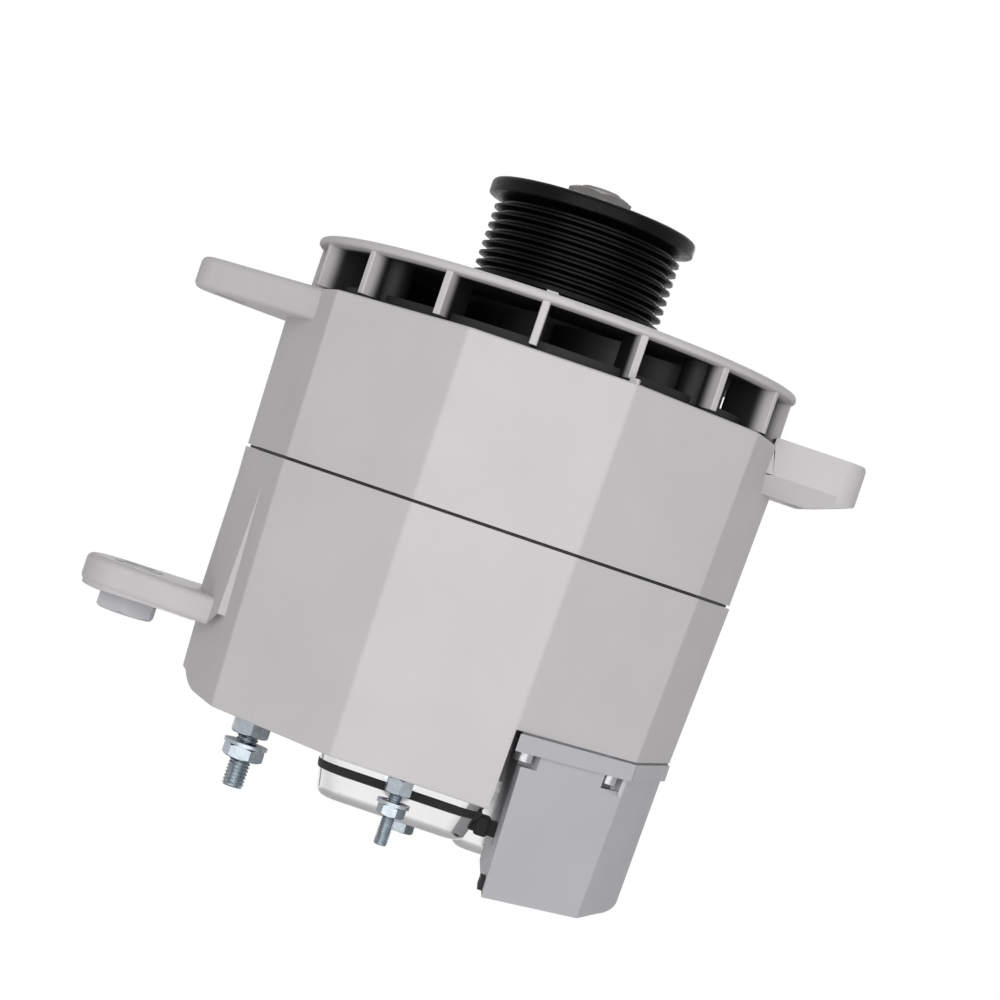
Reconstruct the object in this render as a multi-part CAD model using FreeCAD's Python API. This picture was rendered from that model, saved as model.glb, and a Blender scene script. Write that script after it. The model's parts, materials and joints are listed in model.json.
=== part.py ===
import FreeCAD, Part
import math
import os

# Belt-driven generator head, in millimetres.
# The origin is on the shaft axis at the middle of the pulley's belt grooves, +Z points along the shaft
# out of the pulley, and the regulator box and adjuster lug are on the +X side.
# Angles are in degrees, from the front (-Y) towards +X.

os.makedirs("parts", exist_ok=True)

V = FreeCAD.Vector

# Castings
front_length = 61.0
rear_length = 90.0
facet_count = 10
first_corner = 19.4
corner_rounding = 18.0
front_wall = 5.7
front_flare = 1.8
rear_wall = 6.1
rear_draft = 4.0
edge_rounding = 1.0
seam_gap = 1.1
seam_groove_depth = 4.0
winding_step = 4.0
deck_thickness = 6.0
shield_land_height = 1.2
end_wall = 6.0
rear_left_rounding = 9.5
locating_nib = (4.5, 3.0, 1.5)
nib_inset = 1.2
seat_clearance = 0.02
past = 1.0

# Stator
stator_bore_radius = 53.0
slot_depth = 19.0
stator_yoke = 12.0
stator_length = 44.0
slot_count = 36
slot_width = 5.0
slot_mouth = 2.6
slot_mouth_depth = 2.0
slot_shoulder = 1.0
slot_liner = 0.4
winding_overhang = 18.0
winding_lift = 0.6
winding_spread = 5.0

# Case bolts
case_bolt_count = 5
case_bolt_offset = 4.0
case_bolt_radius = 3.0
case_bolt_head_radius = 5.0
case_bolt_head_height = 6.0
case_bolt_head_depth = 0.5
case_bolt_grip = 30.0
case_bolt_end_gap = 2.0
bolt_hole_clearance = 0.3

# Hinge lugs and bush
hinge_standoff = 25.5
hinge_bore_radius = 6.25
front_lug_radius = 14.5
front_lug_root_half = 42.0
front_lug_thickness = 12.0
rear_lug_radius = 19.4
rear_lug_root_half = 31.0
rear_lug_top = 55.4
rear_lug_thickness = 10.6
lug_edge_rounding = 2.5
lug_pad_half = 39.5
lug_pad_proud = 2.8
lug_pad_flush = 0.6
bush_wall = 2.75
bush_hex_across_flats = 20.3
bush_hex_height = 7.4
bush_proud = 0.4

# Adjuster lug
adjuster_standoff = 16.5
adjuster_reach = 17.6
adjuster_half_width = 20.0
adjuster_drop = 11.8
adjuster_rise = 1.6
adjuster_belly_depth = 6.2
adjuster_belly_start = 1.5
adjuster_belly_slope = 2.0
adjuster_belly_end = 1.0
adjuster_corner = 9.0
adjuster_step_gap = 1.5
adjuster_hole_radius = 5.1
adjuster_spot_radius = 8.5
adjuster_spot_depth = 2.6

# Front end shield
shield_step = 4.0
shield_height = 19.5
shield_plate = 3.5
vane_count = 16
vane_turn = -3.6
vane_inset = 1.2
vane_width = 18.0
vane_thickness = 2.8
vane_root_share = 0.8
shield_foot_width = 9.0
shield_foot_height = 2.5
deck_opening_step = 3.0
shield_rib_count = 8
shield_rib_half = 2.0
shield_rib_height = 1.8
shield_hub_wall = 6.0
shield_hub_rise = 2.3
shield_hub_lip = 3.8
shield_screw_offset = 4.5
shield_screw_wall = 2.6
shield_screw_radius = 3.0
shield_screw_head_radius = 4.6
shield_screw_head_height = 2.4
shield_screw_length = 28.0
seal_hole_radius = 17.0

# Bearings: outer radius, bore radius, width, ball radius, ball count
front_bearing = (31.0, 12.5, 17.0, 5.75, 8)
rear_bearing = (20.0, 8.5, 12.0, 3.4, 8)
ball_clearance = 0.2
race_rounding = 0.8
race_shoulder_share = 0.55
cage_half_share = 0.3
cage_rim = 1.2
retainer_thickness = 3.0
retainer_lip = 4.5
retainer_screw_offset = 2.6
small_screw_radius = 2.0
small_screw_head_radius = 3.4
rear_bearing_standoff = 13.0
rear_hub_wall = 7.0
rear_hub_lip = 1.0

# Shaft and rotor
shaft_thread_radius = 8.0
pulley_seat_radius = 8.5
rotor_seat_radius = 15.0
slip_ring_seat_radius = 6.0
shaft_proud = 1.56
shaft_end_proud = 0.8
shaft_shoulder = 3.0
air_gap = 0.6
pole_pairs = 6
pole_overhang = 10.0
pole_plate = 14.0
pole_core_wall = 4.5
claw_root_depth = 11.4
claw_tip_depth = 5.4
claw_root_half_angle = 20.0
claw_tip_half_angle = 7.0
claw_arm_inset = 8.0
pole_disc_step = 3.0
coil_step = 1.0
bobbin_wall = 1.6
bobbin_rim = 0.8

# Drive fan
fan_blade_count = 13
fan_tip_gap = 3.0
fan_blade_reach = 26.0
fan_disc_drop = 8.5
fan_disc_thickness = 2.5
fan_top_gap = 2.0
fan_blade_thickness = 2.0
fan_blade_sweep = 24.0
fan_blade_bow = 3.5
fan_hub_radius = 20.0
fan_hub_drop = 3.0
fan_inlet_count = 6
fan_inlet_gap = 4.0
fan_inlet_half = (7.5, 10.5)

# Pulley
groove_count = 8
groove_pitch = 3.56
groove_depth = 3.0
groove_land = 0.7
ridge_radius = 35.95
pulley_flange_step = 3.55
pulley_flange_thickness = 6.3
pulley_flange_rounding = 1.8
pulley_foot = 1.8
pulley_gap = 3.16
pulley_hub_radius = 15.0
pulley_hub_drop = 2.0
pulley_rim_wall = 3.95
pulley_web_thickness = 10.0
nut_recess_radius = 18.5
nut_recess_flare = 1.5
nut_recess_depth = 9.6
nut_across_flats = 24.0
nut_height = 13.6
nut_washer_radius = 15.0
nut_washer_thickness = 2.5
key_width = 5.0
key_length = 20.0
key_height = 5.0
key_setback = 3.0

# Slip rings and brushes
slip_ring_radius = 13.0
slip_ring_thickness = 2.5
slip_ring_width = 5.0
slip_ring_gap = 2.0
slip_ring_setback = 1.5
brush_width = 8.0
brush_height = 4.6
brush_length = 15.0
brush_gap = 0.3
brush_side_clearance = 0.1
holder_half_width = 9.0
holder_start = 3.0
holder_length = 28.0
holder_end_wall = 2.0
holder_floor = 1.2
holder_lug_radius = 4.5
holder_lug_thickness = 4.5
holder_screw_x = 14.5
holder_screw_y = 30.0
spring_wire_radius = 0.35
spring_coil_radius = 1.7
spring_turns = 6

# Rear openings and covers
inlet_setback = 10.0
inlet_length = 22.0
inlet_half_angle = 3.4
inlet_first_angle = 118.0
inlet_pitch_angle = 12.0
inlet_count = 13
notch_side = 32.0
notch_back = 25.0
notch_height = 28.5
notch_wall = 4.0
cover_wall = 1.0
cover_room = 1.2
cover_lean = 2.0
main_cover_left = -30.5
main_cover_gap = 1.5
main_cover_front = -66.0
main_cover_back = 20.0
main_cover_screws = ((5.0, -53.0), (-17.5, 8.5), (16.5, 8.5))
cover_pillar_radius = 4.2
side_cover_left = 22.0
side_cover_length = 40.0
side_cover_gap = 2.0
side_cover_width = 29.0
side_cover_depth = 29.5
side_cover_tab_places = (17.0, 20.0)
cover_tab_half = 5.0
cover_tab_rounding = 4.0
cover_screw_radius = 2.5
cover_screw_head_flats = 7.4
cover_screw_head_height = 3.8
cover_screw_bite = 4.0

# Regulator
gasket_thickness = 0.8
gasket_inset = 0.8
regulator_flange_thickness = 6.0
regulator_inset = 3.6
regulator_reach = 29.6
regulator_gap = 1.6
regulator_wall = 2.5
regulator_taper = 1.8
regulator_foot_rounding = 4.5
regulator_screw_radius = 2.5
regulator_screw_inset = 4.8
regulator_screw_head_radius = 4.0
regulator_screw_head_height = 4.4
regulator_screw_spread = (17.6, 17.2)
regulator_back_screws = (42.0, 73.0)
regulator_pocket_gap = 1.1
regulator_pad_wall = 3.2
flange_slot_half = 1.5
flange_slot_depth = 14.0
grommet_place = (31.0, -54.0)
grommet_half = (5.5, 4.0, 3.25)
grommet_collar_half = (2.4, 5.5, 4.45)
grommet_drop = 10.75
plug_size = (5.9, 14.0, 4.8)
plug_front = -66.0
plug_lift = 0.6
plug_wall = 1.0
fit_clearance = 0.1

# Rectifier
rectifier_inner_radius = 42.0
rectifier_outer_gap = 2.0
rectifier_start = 136.0
rectifier_end = 342.0
negative_plate_height = 28.0
positive_plate_height = 17.0
rectifier_plate = 4.0
diode_radius = 6.4
diode_circle = 61.0
diode_angles = ((158, 200, 262), (179, 220, 285))
diode_hole_gap = 1.5
rectifier_screw_circle = 70.0
rectifier_screw_angles = (142, 236, 334)
rectifier_screw_radius = 2.5
rectifier_screw_head_radius = 4.6
rectifier_screw_head_height = 4.0
rectifier_screw_bite = 4.0
spacer_radius = 5.4
spacer_gap = 1.2

# Terminal studs: x, y, thread radius, reach below the rear face, nut across flats, nut height, washer radius
output_stud = (-56.5, -40.0, 4.0, 25.7, 13.0, 6.8, 7.9)
signal_stud = (-0.5, -80.0, 2.5, 23.3, 8.6, 5.4, 5.75)
stud_cable_gap = 2.8
stud_washer_thickness = 1.2
stud_insulator_wall = 3.0
stud_insulator_rim = 1.5
thin_nut_share = 0.7

# Sizes that follow from these
stator_radius = stator_bore_radius + slot_depth + stator_yoke
slot_bottom_radius = stator_bore_radius + slot_depth
winding_space_radius = stator_radius - winding_step
corner_to_flat = math.cos(math.pi / facet_count)
corner_loss = corner_rounding * (1 / corner_to_flat - 1)
front_flat_at_top = stator_radius + front_wall + front_flare
front_radius_at_seam = (stator_radius + front_wall) / corner_to_flat
front_radius_at_top = front_flat_at_top / corner_to_flat
rear_radius_at_seam = (stator_radius + rear_wall) / corner_to_flat
rear_radius_at_end = (stator_radius + rear_wall - rear_draft) / corner_to_flat
case_bolt_circle = stator_radius + case_bolt_offset
lug_offset = front_flat_at_top + hinge_standoff
adjuster_offset = front_flat_at_top + adjuster_standoff
bush_radius = hinge_bore_radius + bush_wall
shield_radius = front_radius_at_top - shield_step
vane_outer_radius = shield_radius - vane_inset
vane_inner_radius = vane_outer_radius - vane_width
shield_foot_outer = vane_inner_radius + shield_foot_width
shield_screw_circle = vane_inner_radius + shield_screw_offset
shield_screw_boss_radius = shield_screw_radius + shield_screw_wall
deck_opening_radius = vane_inner_radius - deck_opening_step
shield_hub_radius = front_bearing[0] + shield_hub_wall
retainer_screw_circle = front_bearing[0] + retainer_screw_offset
rear_hub_radius = rear_bearing[0] + rear_hub_wall
fan_radius = deck_opening_radius - fan_tip_gap
fan_blade_inner_radius = fan_radius - fan_blade_reach
pulley_flange_radius = ridge_radius + pulley_flange_step
pulley_rim_inner_radius = ridge_radius - groove_depth - pulley_rim_wall
pole_radius = stator_bore_radius - air_gap
pole_face = stator_length / 2 + pole_overhang
claw_tip_reach = pole_face + stator_length / 2
claw_root_inner_radius = pole_radius - claw_root_depth
claw_tip_inner_radius = pole_radius - claw_tip_depth
pole_disc_radius = claw_root_inner_radius - pole_disc_step
pole_core_radius = rotor_seat_radius + pole_core_wall
coil_outer_radius = pole_disc_radius - coil_step
inlet_outer_radius = winding_space_radius - inlet_setback
inlet_inner_radius = inlet_outer_radius - inlet_length
rectifier_outer_radius = winding_space_radius - rectifier_outer_gap
slip_rings_length = 2 * slip_ring_width + slip_ring_gap
main_cover_depth = slip_ring_setback + slip_rings_length + shaft_end_proud + cover_room + cover_wall
main_cover = (main_cover_left, notch_side - main_cover_gap, main_cover_front, main_cover_back)
side_cover = (side_cover_left, side_cover_left + side_cover_length,
              notch_back + side_cover_gap, notch_back + side_cover_gap + side_cover_width)
side_cover_tabs = ((side_cover[0] - cover_tab_half, side_cover[2] + side_cover_tab_places[0]),
                   (side_cover[0] + side_cover_tab_places[1], side_cover[3] + cover_tab_half))

# Heights of the main faces, from the belt plane
groove_half_span = groove_count * groove_pitch / 2
pulley_top_z = groove_half_span + pulley_flange_thickness
pulley_bottom_z = -groove_half_span - pulley_foot
pulley_hub_bottom_z = pulley_bottom_z - pulley_hub_drop
nut_seat_z = pulley_top_z - nut_recess_depth
nut_top_z = nut_seat_z + nut_washer_thickness + nut_height
shaft_top_z = nut_top_z + shaft_proud
hub_top_z = pulley_bottom_z - pulley_gap
bearing_top_z = hub_top_z - shield_hub_lip
front_bearing_z = bearing_top_z - front_bearing[2]
shield_top_z = hub_top_z - shield_hub_rise
vane_top_z = shield_top_z - shield_plate
deck_z = shield_top_z - shield_height
shield_seat_z = deck_z + shield_land_height
seam_z = deck_z - front_length
fan_disc_z = deck_z - fan_disc_drop
fan_hub_bottom_z = fan_disc_z - fan_hub_drop
rear_face_z = seam_z - rear_length
end_wall_z = rear_face_z + end_wall
rear_bearing_z = rear_face_z + rear_bearing_standoff
rear_bearing_top_z = rear_bearing_z + rear_bearing[2]
slip_rings_z = rear_face_z - slip_ring_setback
shaft_bottom_z = slip_rings_z - slip_rings_length - shaft_end_proud
notch_z = rear_face_z + notch_height
gasket_bottom_z = notch_z - gasket_thickness
flange_bottom_z = gasket_bottom_z - regulator_flange_thickness
box_bottom_z = rear_face_z - regulator_reach
negative_plate_z = rear_face_z + negative_plate_height
positive_plate_z = rear_face_z + positive_plate_height
rear_ear_top_z = seam_z - rear_lug_top
rear_ear_bottom_z = rear_ear_top_z - rear_lug_thickness


# Shape helpers
def at_angle(radius, degrees, z=0.0):
    turn = math.radians(degrees)
    return V(radius * math.sin(turn), -radius * math.cos(turn), z)


def cylinder(radius, z_low, z_high, x=0.0, y=0.0):
    return Part.makeCylinder(radius, z_high - z_low, V(x, y, z_low))


def ring(outer, inner, z_low, z_high, x=0.0, y=0.0):
    return cylinder(outer, z_low, z_high, x, y).cut(cylinder(inner, z_low - past, z_high + past, x, y))


def block(x_low, x_high, y_low, y_high, z_low, z_high):
    return Part.makeBox(x_high - x_low, y_high - y_low, z_high - z_low, V(x_low, y_low, z_low))


def turned(shape, degrees):
    copy = shape.copy()
    copy.rotate(V(0, 0, 0), V(0, 0, 1), degrees)
    return copy


def outline(corners, place):
    """Closed wire through 2-D corners (a, b, rounding), each rounded by a tangent arc."""
    rounded = []
    count = len(corners)
    for index, (a, b, radius) in enumerate(corners):
        here = V(a, b, 0)
        if radius <= 0:
            rounded.append((here, here, here))
            continue
        before = corners[index - 1]
        after = corners[(index + 1) % count]
        back = V(before[0], before[1], 0).sub(here).normalize()
        ahead = V(after[0], after[1], 0).sub(here).normalize()
        half = back.getAngle(ahead) / 2
        reach = radius / math.tan(half)
        inward = back.add(ahead).normalize()
        middle = here + inward * (radius / math.sin(half) - radius)
        rounded.append((here + back * reach, middle, here + ahead * reach))
    edges = []
    for index, (start, middle, end) in enumerate(rounded):
        following = rounded[(index + 1) % count][0]
        if start.sub(end).Length > 1e-6:
            edges.append(Part.Arc(place(start), place(middle), place(end)).toShape())
        if following.sub(end).Length > 1e-6:
            edges.append(Part.LineSegment(place(end), place(following)).toShape())
    return Part.Wire(edges)


def plan(corners, z_low, z_high):
    """Upright prism on a plan outline of (x, y, rounding) corners."""
    wire = outline(corners, lambda p: V(p.x, p.y, z_low))
    return Part.Face(wire).extrude(V(0, 0, z_high - z_low))


def revolved(corners, x=0.0, y=0.0):
    """Solid of revolution about a vertical axis, from (radius, z) or (radius, z, rounding) corners."""
    full = [corner if len(corner) == 3 else (corner[0], corner[1], 0) for corner in corners]
    wire = outline(full, lambda p: V(x + p.x, y, p.y))
    return Part.Face(wire).revolve(V(x, y, 0), V(0, 0, 1), 360)


def rounded_ring(outer, inner, z_low, z_high, rounding):
    return revolved([(inner, z_low, rounding), (outer, z_low, rounding), (outer, z_high, rounding),
                     (inner, z_high, rounding)])


def frustum(low, high):
    """Solid between two polygons with as many corners, each side a flat quad."""
    count = len(low)
    floor = (low + low[:1])[::-1]
    faces = [Part.Face(Part.makePolygon(floor)), Part.Face(Part.makePolygon(high + high[:1]))]
    for index in range(count):
        following = (index + 1) % count
        quad = [low[index], low[following], high[following], high[index], low[index]]
        faces.append(Part.Face(Part.makePolygon(quad)))
    return Part.Solid(Part.Shell(faces))


def rectangle(x_low, x_high, y_low, y_high, z):
    return [V(x_low, y_low, z), V(x_high, y_low, z), V(x_high, y_high, z), V(x_low, y_high, z)]


def rising_edges(shape):
    return [edge for edge in shape.Edges if edge.BoundBox.ZLength > 0.05]


def edges_at(shape, z):
    return [edge for edge in shape.Edges
            if edge.BoundBox.ZLength < 1e-4 and abs(edge.BoundBox.ZMin - z) < 1e-4]


def ten_sided(radius_low, z_low, radius_high, z_high, rounding=corner_rounding, end_rounding=None):
    """Tapered ten-sided prism with rounded upright corners, and a rounded edge at one end if asked."""
    step = 360.0 / facet_count
    low = [at_angle(radius_low, first_corner + step * k, z_low) for k in range(facet_count)]
    high = [at_angle(radius_high, first_corner + step * k, z_high) for k in range(facet_count)]
    solid = frustum(low, high)
    solid = solid.makeFillet(rounding, rising_edges(solid))
    if end_rounding:
        radius, z = end_rounding
        solid = solid.makeFillet(radius, edges_at(solid, z))
    return solid


def rear_radius(z):
    """Corner radius of the rear casting at a height of the frame."""
    share = (seam_z - z) / rear_length
    return rear_radius_at_seam + (rear_radius_at_end - rear_radius_at_seam) * share


def fused(shapes):
    shapes = list(shapes)
    return shapes[0].multiFuse(shapes[1:]) if len(shapes) > 1 else shapes[0]


def cut_all(shape, tools):
    return shape.cut(fused(tools))


def holes(radius, z_low, z_high, places):
    return [cylinder(radius, z_low, z_high, x, y) for x, y in places]


def around(count, maker, start=0.0):
    """Copies of one shape, evenly spaced about the shaft axis."""
    first = maker()
    return [turned(first, start + 360.0 * k / count) for k in range(count)]


def on_circle(radius, angles):
    """Plan places on a circle about the shaft axis."""
    points = [at_angle(radius, angle) for angle in angles]
    return [(p.x, p.y) for p in points]


def save(name, *shapes):
    solids = [solid for shape in shapes for solid in shape.Solids]
    body = solids[0] if len(solids) == 1 else Part.makeCompound(solids)
    assert all(solid.isValid() and solid.Volume > 0 for solid in solids), name
    body.exportStep("parts/" + name + ".step")
    print(name, len(solids), round(sum(solid.Volume for solid in solids) / 1000, 2))


# Fasteners
def hexagon_prism(across_flats, z_low, z_high, x, y, turn=0.0):
    corner = across_flats / 2 / math.cos(math.pi / 6)
    points = [at_angle(corner, turn + 60 * k, z_low) + V(x, y, 0) for k in range(7)]
    return Part.Face(Part.makePolygon(points)).extrude(V(0, 0, z_high - z_low))


def nut_body(across_flats, z_low, z_high, x=0.0, y=0.0, turn=0.0):
    """Hexagon whose corners are cut back at both faces by a 30 degree cone."""
    corner = across_flats / 2 / math.cos(math.pi / 6)
    flat = across_flats / 2 * 0.96
    drop = (corner - flat) * math.tan(math.pi / 6)
    cone = revolved([(0, z_low), (flat, z_low), (corner, z_low + drop), (corner, z_high - drop),
                     (flat, z_high), (0, z_high)], x, y)
    return hexagon_prism(across_flats, z_low, z_high, x, y, turn).common(cone)


def nut(across_flats, radius, z_low, z_high, x=0.0, y=0.0, turn=0.0):
    bore = cylinder(radius + seat_clearance, z_low - past, z_high + past, x, y)
    return nut_body(across_flats, z_low, z_high, x, y, turn).cut(bore)


def socket_screw(place, seat_z, head_radius, head_height, radius, length, up=True):
    """Cap screw on an upright axis; its head stands above its seat, or hangs below it."""
    x, y = place
    sign = 1 if up else -1
    top = seat_z + sign * head_height
    shank = sorted([seat_z + sign * head_height * 0.2, seat_z - sign * length])
    rim = head_radius * 0.12
    head = revolved([(0, seat_z), (head_radius, seat_z), (head_radius, top, rim), (0, top)], x, y)
    socket = sorted([top + sign, top - sign * head_height * 0.55])
    recess = hexagon_prism(head_radius, socket[0], socket[1], x, y)
    return head.cut(recess).fuse(cylinder(radius, shank[0], shank[1], x, y))


def hex_screw(x, y, head_top, length):
    """Hexagon-headed cover screw whose head hangs below head_top and whose shank goes up."""
    head = nut_body(cover_screw_head_flats, head_top - cover_screw_head_height, head_top, x, y, 15.0)
    shank_low = head_top - cover_screw_head_height / 2
    return head.fuse(cylinder(cover_screw_radius, shank_low, head_top + length, x, y))


# Castings
def case_bolt_places():
    return on_circle(case_bolt_circle, [first_corner + 360.0 * k / case_bolt_count
                                        for k in range(case_bolt_count)])


def shield_screw_places():
    step = 360.0 / vane_count
    return on_circle(shield_screw_circle, [vane_turn + step * (2 + 4 * k) for k in range(4)])


def seam_groove(z_low, z_high):
    """What the open seam takes away outside the land on which the two castings meet."""
    radius = front_radius_at_seam - seam_groove_depth / corner_to_flat
    land = ten_sided(radius, z_low - past, radius, z_high + past, corner_rounding - seam_groove_depth)
    return cylinder(rear_radius_at_seam * 1.2, z_low, z_high).cut(land)


def lug_plate(tip_radius, root_half, z_low, z_high):
    """Lug plate whose straight edges run tangent from its round tip to its wide root in the casting."""
    root_x = -winding_space_radius
    reach = lug_offset + root_x
    swing = math.asin(tip_radius / math.hypot(reach, root_half))
    lean = math.atan2(root_half, reach) - swing
    touch_x = -lug_offset - tip_radius * math.sin(lean)
    touch_y = tip_radius * math.cos(lean)
    tip = Part.Arc(V(touch_x, touch_y, z_low), V(-lug_offset - tip_radius, 0, z_low),
                   V(touch_x, -touch_y, z_low)).toShape()
    corners = [V(touch_x, -touch_y, z_low), V(root_x, -root_half, z_low), V(root_x, root_half, z_low),
               V(touch_x, touch_y, z_low)]
    sides = [Part.LineSegment(a, b).toShape() for a, b in zip(corners, corners[1:])]
    plate = Part.Face(Part.Wire([tip] + sides)).extrude(V(0, 0, z_high - z_low))
    outer = [edge for edge in edges_at(plate, z_low) + edges_at(plate, z_high)
             if edge.BoundBox.XMin < root_x - past]
    return plate.makeFillet(lug_edge_rounding, outer)


def adjuster_lug():
    """Adjuster lug: a thick plate with a belly below, drawn as one side profile."""
    low = deck_z - adjuster_drop
    belly = low - adjuster_belly_depth
    top = deck_z + adjuster_rise
    root_x = winding_space_radius
    tip_x = adjuster_offset + adjuster_reach
    belly_x = front_flat_at_top + adjuster_belly_start
    step_x = shield_radius + adjuster_step_gap
    side = [(root_x, low, 0), (belly_x, low, 2.0), (belly_x + adjuster_belly_slope, belly, 1.5),
            (adjuster_offset - adjuster_belly_end, belly, 3.0), (tip_x, low - 0.5, 2.0), (tip_x, top, 2.5),
            (step_x, top, 0.5), (step_x, deck_z, 0), (root_x, deck_z, 0)]
    wire = outline(side, lambda p: V(p.x, -adjuster_half_width, p.y))
    lug = Part.Face(wire).extrude(V(0, 2 * adjuster_half_width, 0))
    inner_x = root_x - past
    footprint = plan([(inner_x, -adjuster_half_width, 0), (tip_x, -adjuster_half_width, adjuster_corner),
                      (tip_x, adjuster_half_width, adjuster_corner), (inner_x, adjuster_half_width, 0)],
                     belly - past, top + past)
    return lug.common(footprint)


def make_front_housing():
    shell = ten_sided(front_radius_at_seam, seam_z, front_radius_at_top, deck_z,
                      end_rounding=(edge_rounding, deck_z))
    lug = lug_plate(front_lug_radius, front_lug_root_half, deck_z - front_lug_thickness, deck_z)
    core_top = seam_z + stator_length / 2
    deck_low = deck_z - deck_thickness
    seat = stator_radius + seat_clearance
    hollow = revolved([(0, seam_z - past), (seat, seam_z - past), (seat, core_top),
                       (winding_space_radius, core_top), (winding_space_radius, deck_low, 6.0),
                       (deck_opening_radius, deck_low), (deck_opening_radius, deck_z + past),
                       (0, deck_z + past)])
    land = ring(shield_foot_outer, deck_opening_radius, deck_z - 0.5, shield_seat_z)
    bosses = holes(shield_screw_boss_radius, deck_low - 8, deck_z, shield_screw_places())
    nib_width, nib_depth, nib_height = locating_nib
    nib_front = nib_inset - front_radius_at_top
    nib = block(-nib_width / 2, nib_width / 2, nib_front, nib_front + nib_depth, deck_z - past,
                deck_z + nib_height)
    casting = fused([shell, lug, adjuster_lug()]).cut(hollow)
    casting = casting.fuse([land, turned(nib, first_corner)] + bosses)
    tools = [seam_groove(seam_z - past, seam_z + seam_gap / 2)]
    tools += [cylinder(hinge_bore_radius, seam_z, deck_z + past, -lug_offset)]
    tools += [cylinder(adjuster_hole_radius, seam_z, shield_top_z, adjuster_offset)]
    tools += [cylinder(adjuster_spot_radius, seam_z, deck_z - adjuster_drop - adjuster_belly_depth
                       + adjuster_spot_depth, adjuster_offset)]
    tools += holes(case_bolt_radius + bolt_hole_clearance, seam_z - past, deck_z + past, case_bolt_places())
    tools += holes(case_bolt_head_radius + bolt_hole_clearance, case_bolt_seat_z(), deck_z + past,
                   case_bolt_places())
    tools += holes(shield_screw_radius + seat_clearance, deck_low - 14, shield_top_z, shield_screw_places())
    return cut_all(casting, tools)


def lug_pad():
    """Raised pad that carries the rear lug: flush at the seam and proud of the facets at the lug."""
    low = rear_ear_bottom_z
    flush = rear_radius(seam_z) - lug_pad_flush
    proud = rear_radius(low) + lug_pad_proud
    pad = ten_sided(proud, low, flush, seam_z - seam_gap / 2)
    return pad.common(block(-proud, 0, -lug_pad_half, lug_pad_half, low, seam_z))


def notch_prism(grow):
    """The corner that the rear casting leaves to the regulator, or a larger copy of it."""
    reach = rear_radius_at_seam * 1.3
    return block(notch_side - grow, reach, -reach, notch_back + grow, rear_face_z - 20, notch_z + grow)


def left_corner_tool():
    """What the round at the left foot of the rear casting takes away, along the whole side."""
    radius = rear_left_rounding
    corner_angle = math.radians(first_corner - 180.0 / facet_count)
    side = corner_loss - rear_radius_at_end * math.cos(corner_angle)
    half = rear_radius_at_end * 0.7
    piece = block(side - radius, side + radius, -half, half, rear_face_z - 5, rear_face_z + radius)
    round_edge = Part.makeCylinder(radius, 2 * half + 2, V(side + radius, -half - 1, rear_face_z + radius),
                                   V(0, 1, 0))
    return piece.cut(round_edge)


def inlet_slot():
    """One air inlet slot in the end wall, with round ends, in the -Y direction."""
    half = math.radians(inlet_half_angle)
    inner, outer = inlet_inner_radius, inlet_outer_radius
    corners = [(-inner * math.sin(half), -inner, 2.0), (inner * math.sin(half), -inner, 2.0),
               (outer * math.sin(half), -outer, 3.0), (-outer * math.sin(half), -outer, 3.0)]
    return plan(corners, rear_face_z - past, end_wall_z + past)


def inlet_angles():
    """Evenly spaced, apart from those that would meet the first rectifier screw."""
    angles = [inlet_first_angle + inlet_pitch_angle * k for k in range(inlet_count)]
    return [angle for angle in angles if abs(angle - rectifier_screw_angles[0]) > 1.5 * inlet_pitch_angle]


def cavity():
    """Space inside the rear casting, kept off the walls of the regulator notch."""
    core_end = seam_z - stator_length / 2
    seat = stator_radius + seat_clearance
    space = revolved([(0, end_wall_z), (winding_space_radius, end_wall_z, 2.0),
                      (winding_space_radius, core_end), (seat, core_end), (seat, seam_z + past),
                      (0, seam_z + past)])
    return space.cut(notch_prism(notch_wall))


def rear_hub():
    """Bearing hub inside the end wall, stiffened by ribs."""
    hub = cylinder(rear_hub_radius, end_wall_z - past, rear_bearing_top_z + rear_hub_lip)
    rib = block(-2, 2, -rear_hub_radius - 19, -rear_hub_radius + 3, end_wall_z - past, end_wall_z + 6)
    return [hub] + [turned(rib, angle) for angle in (0, 160, 210, 260, 310)]


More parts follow.
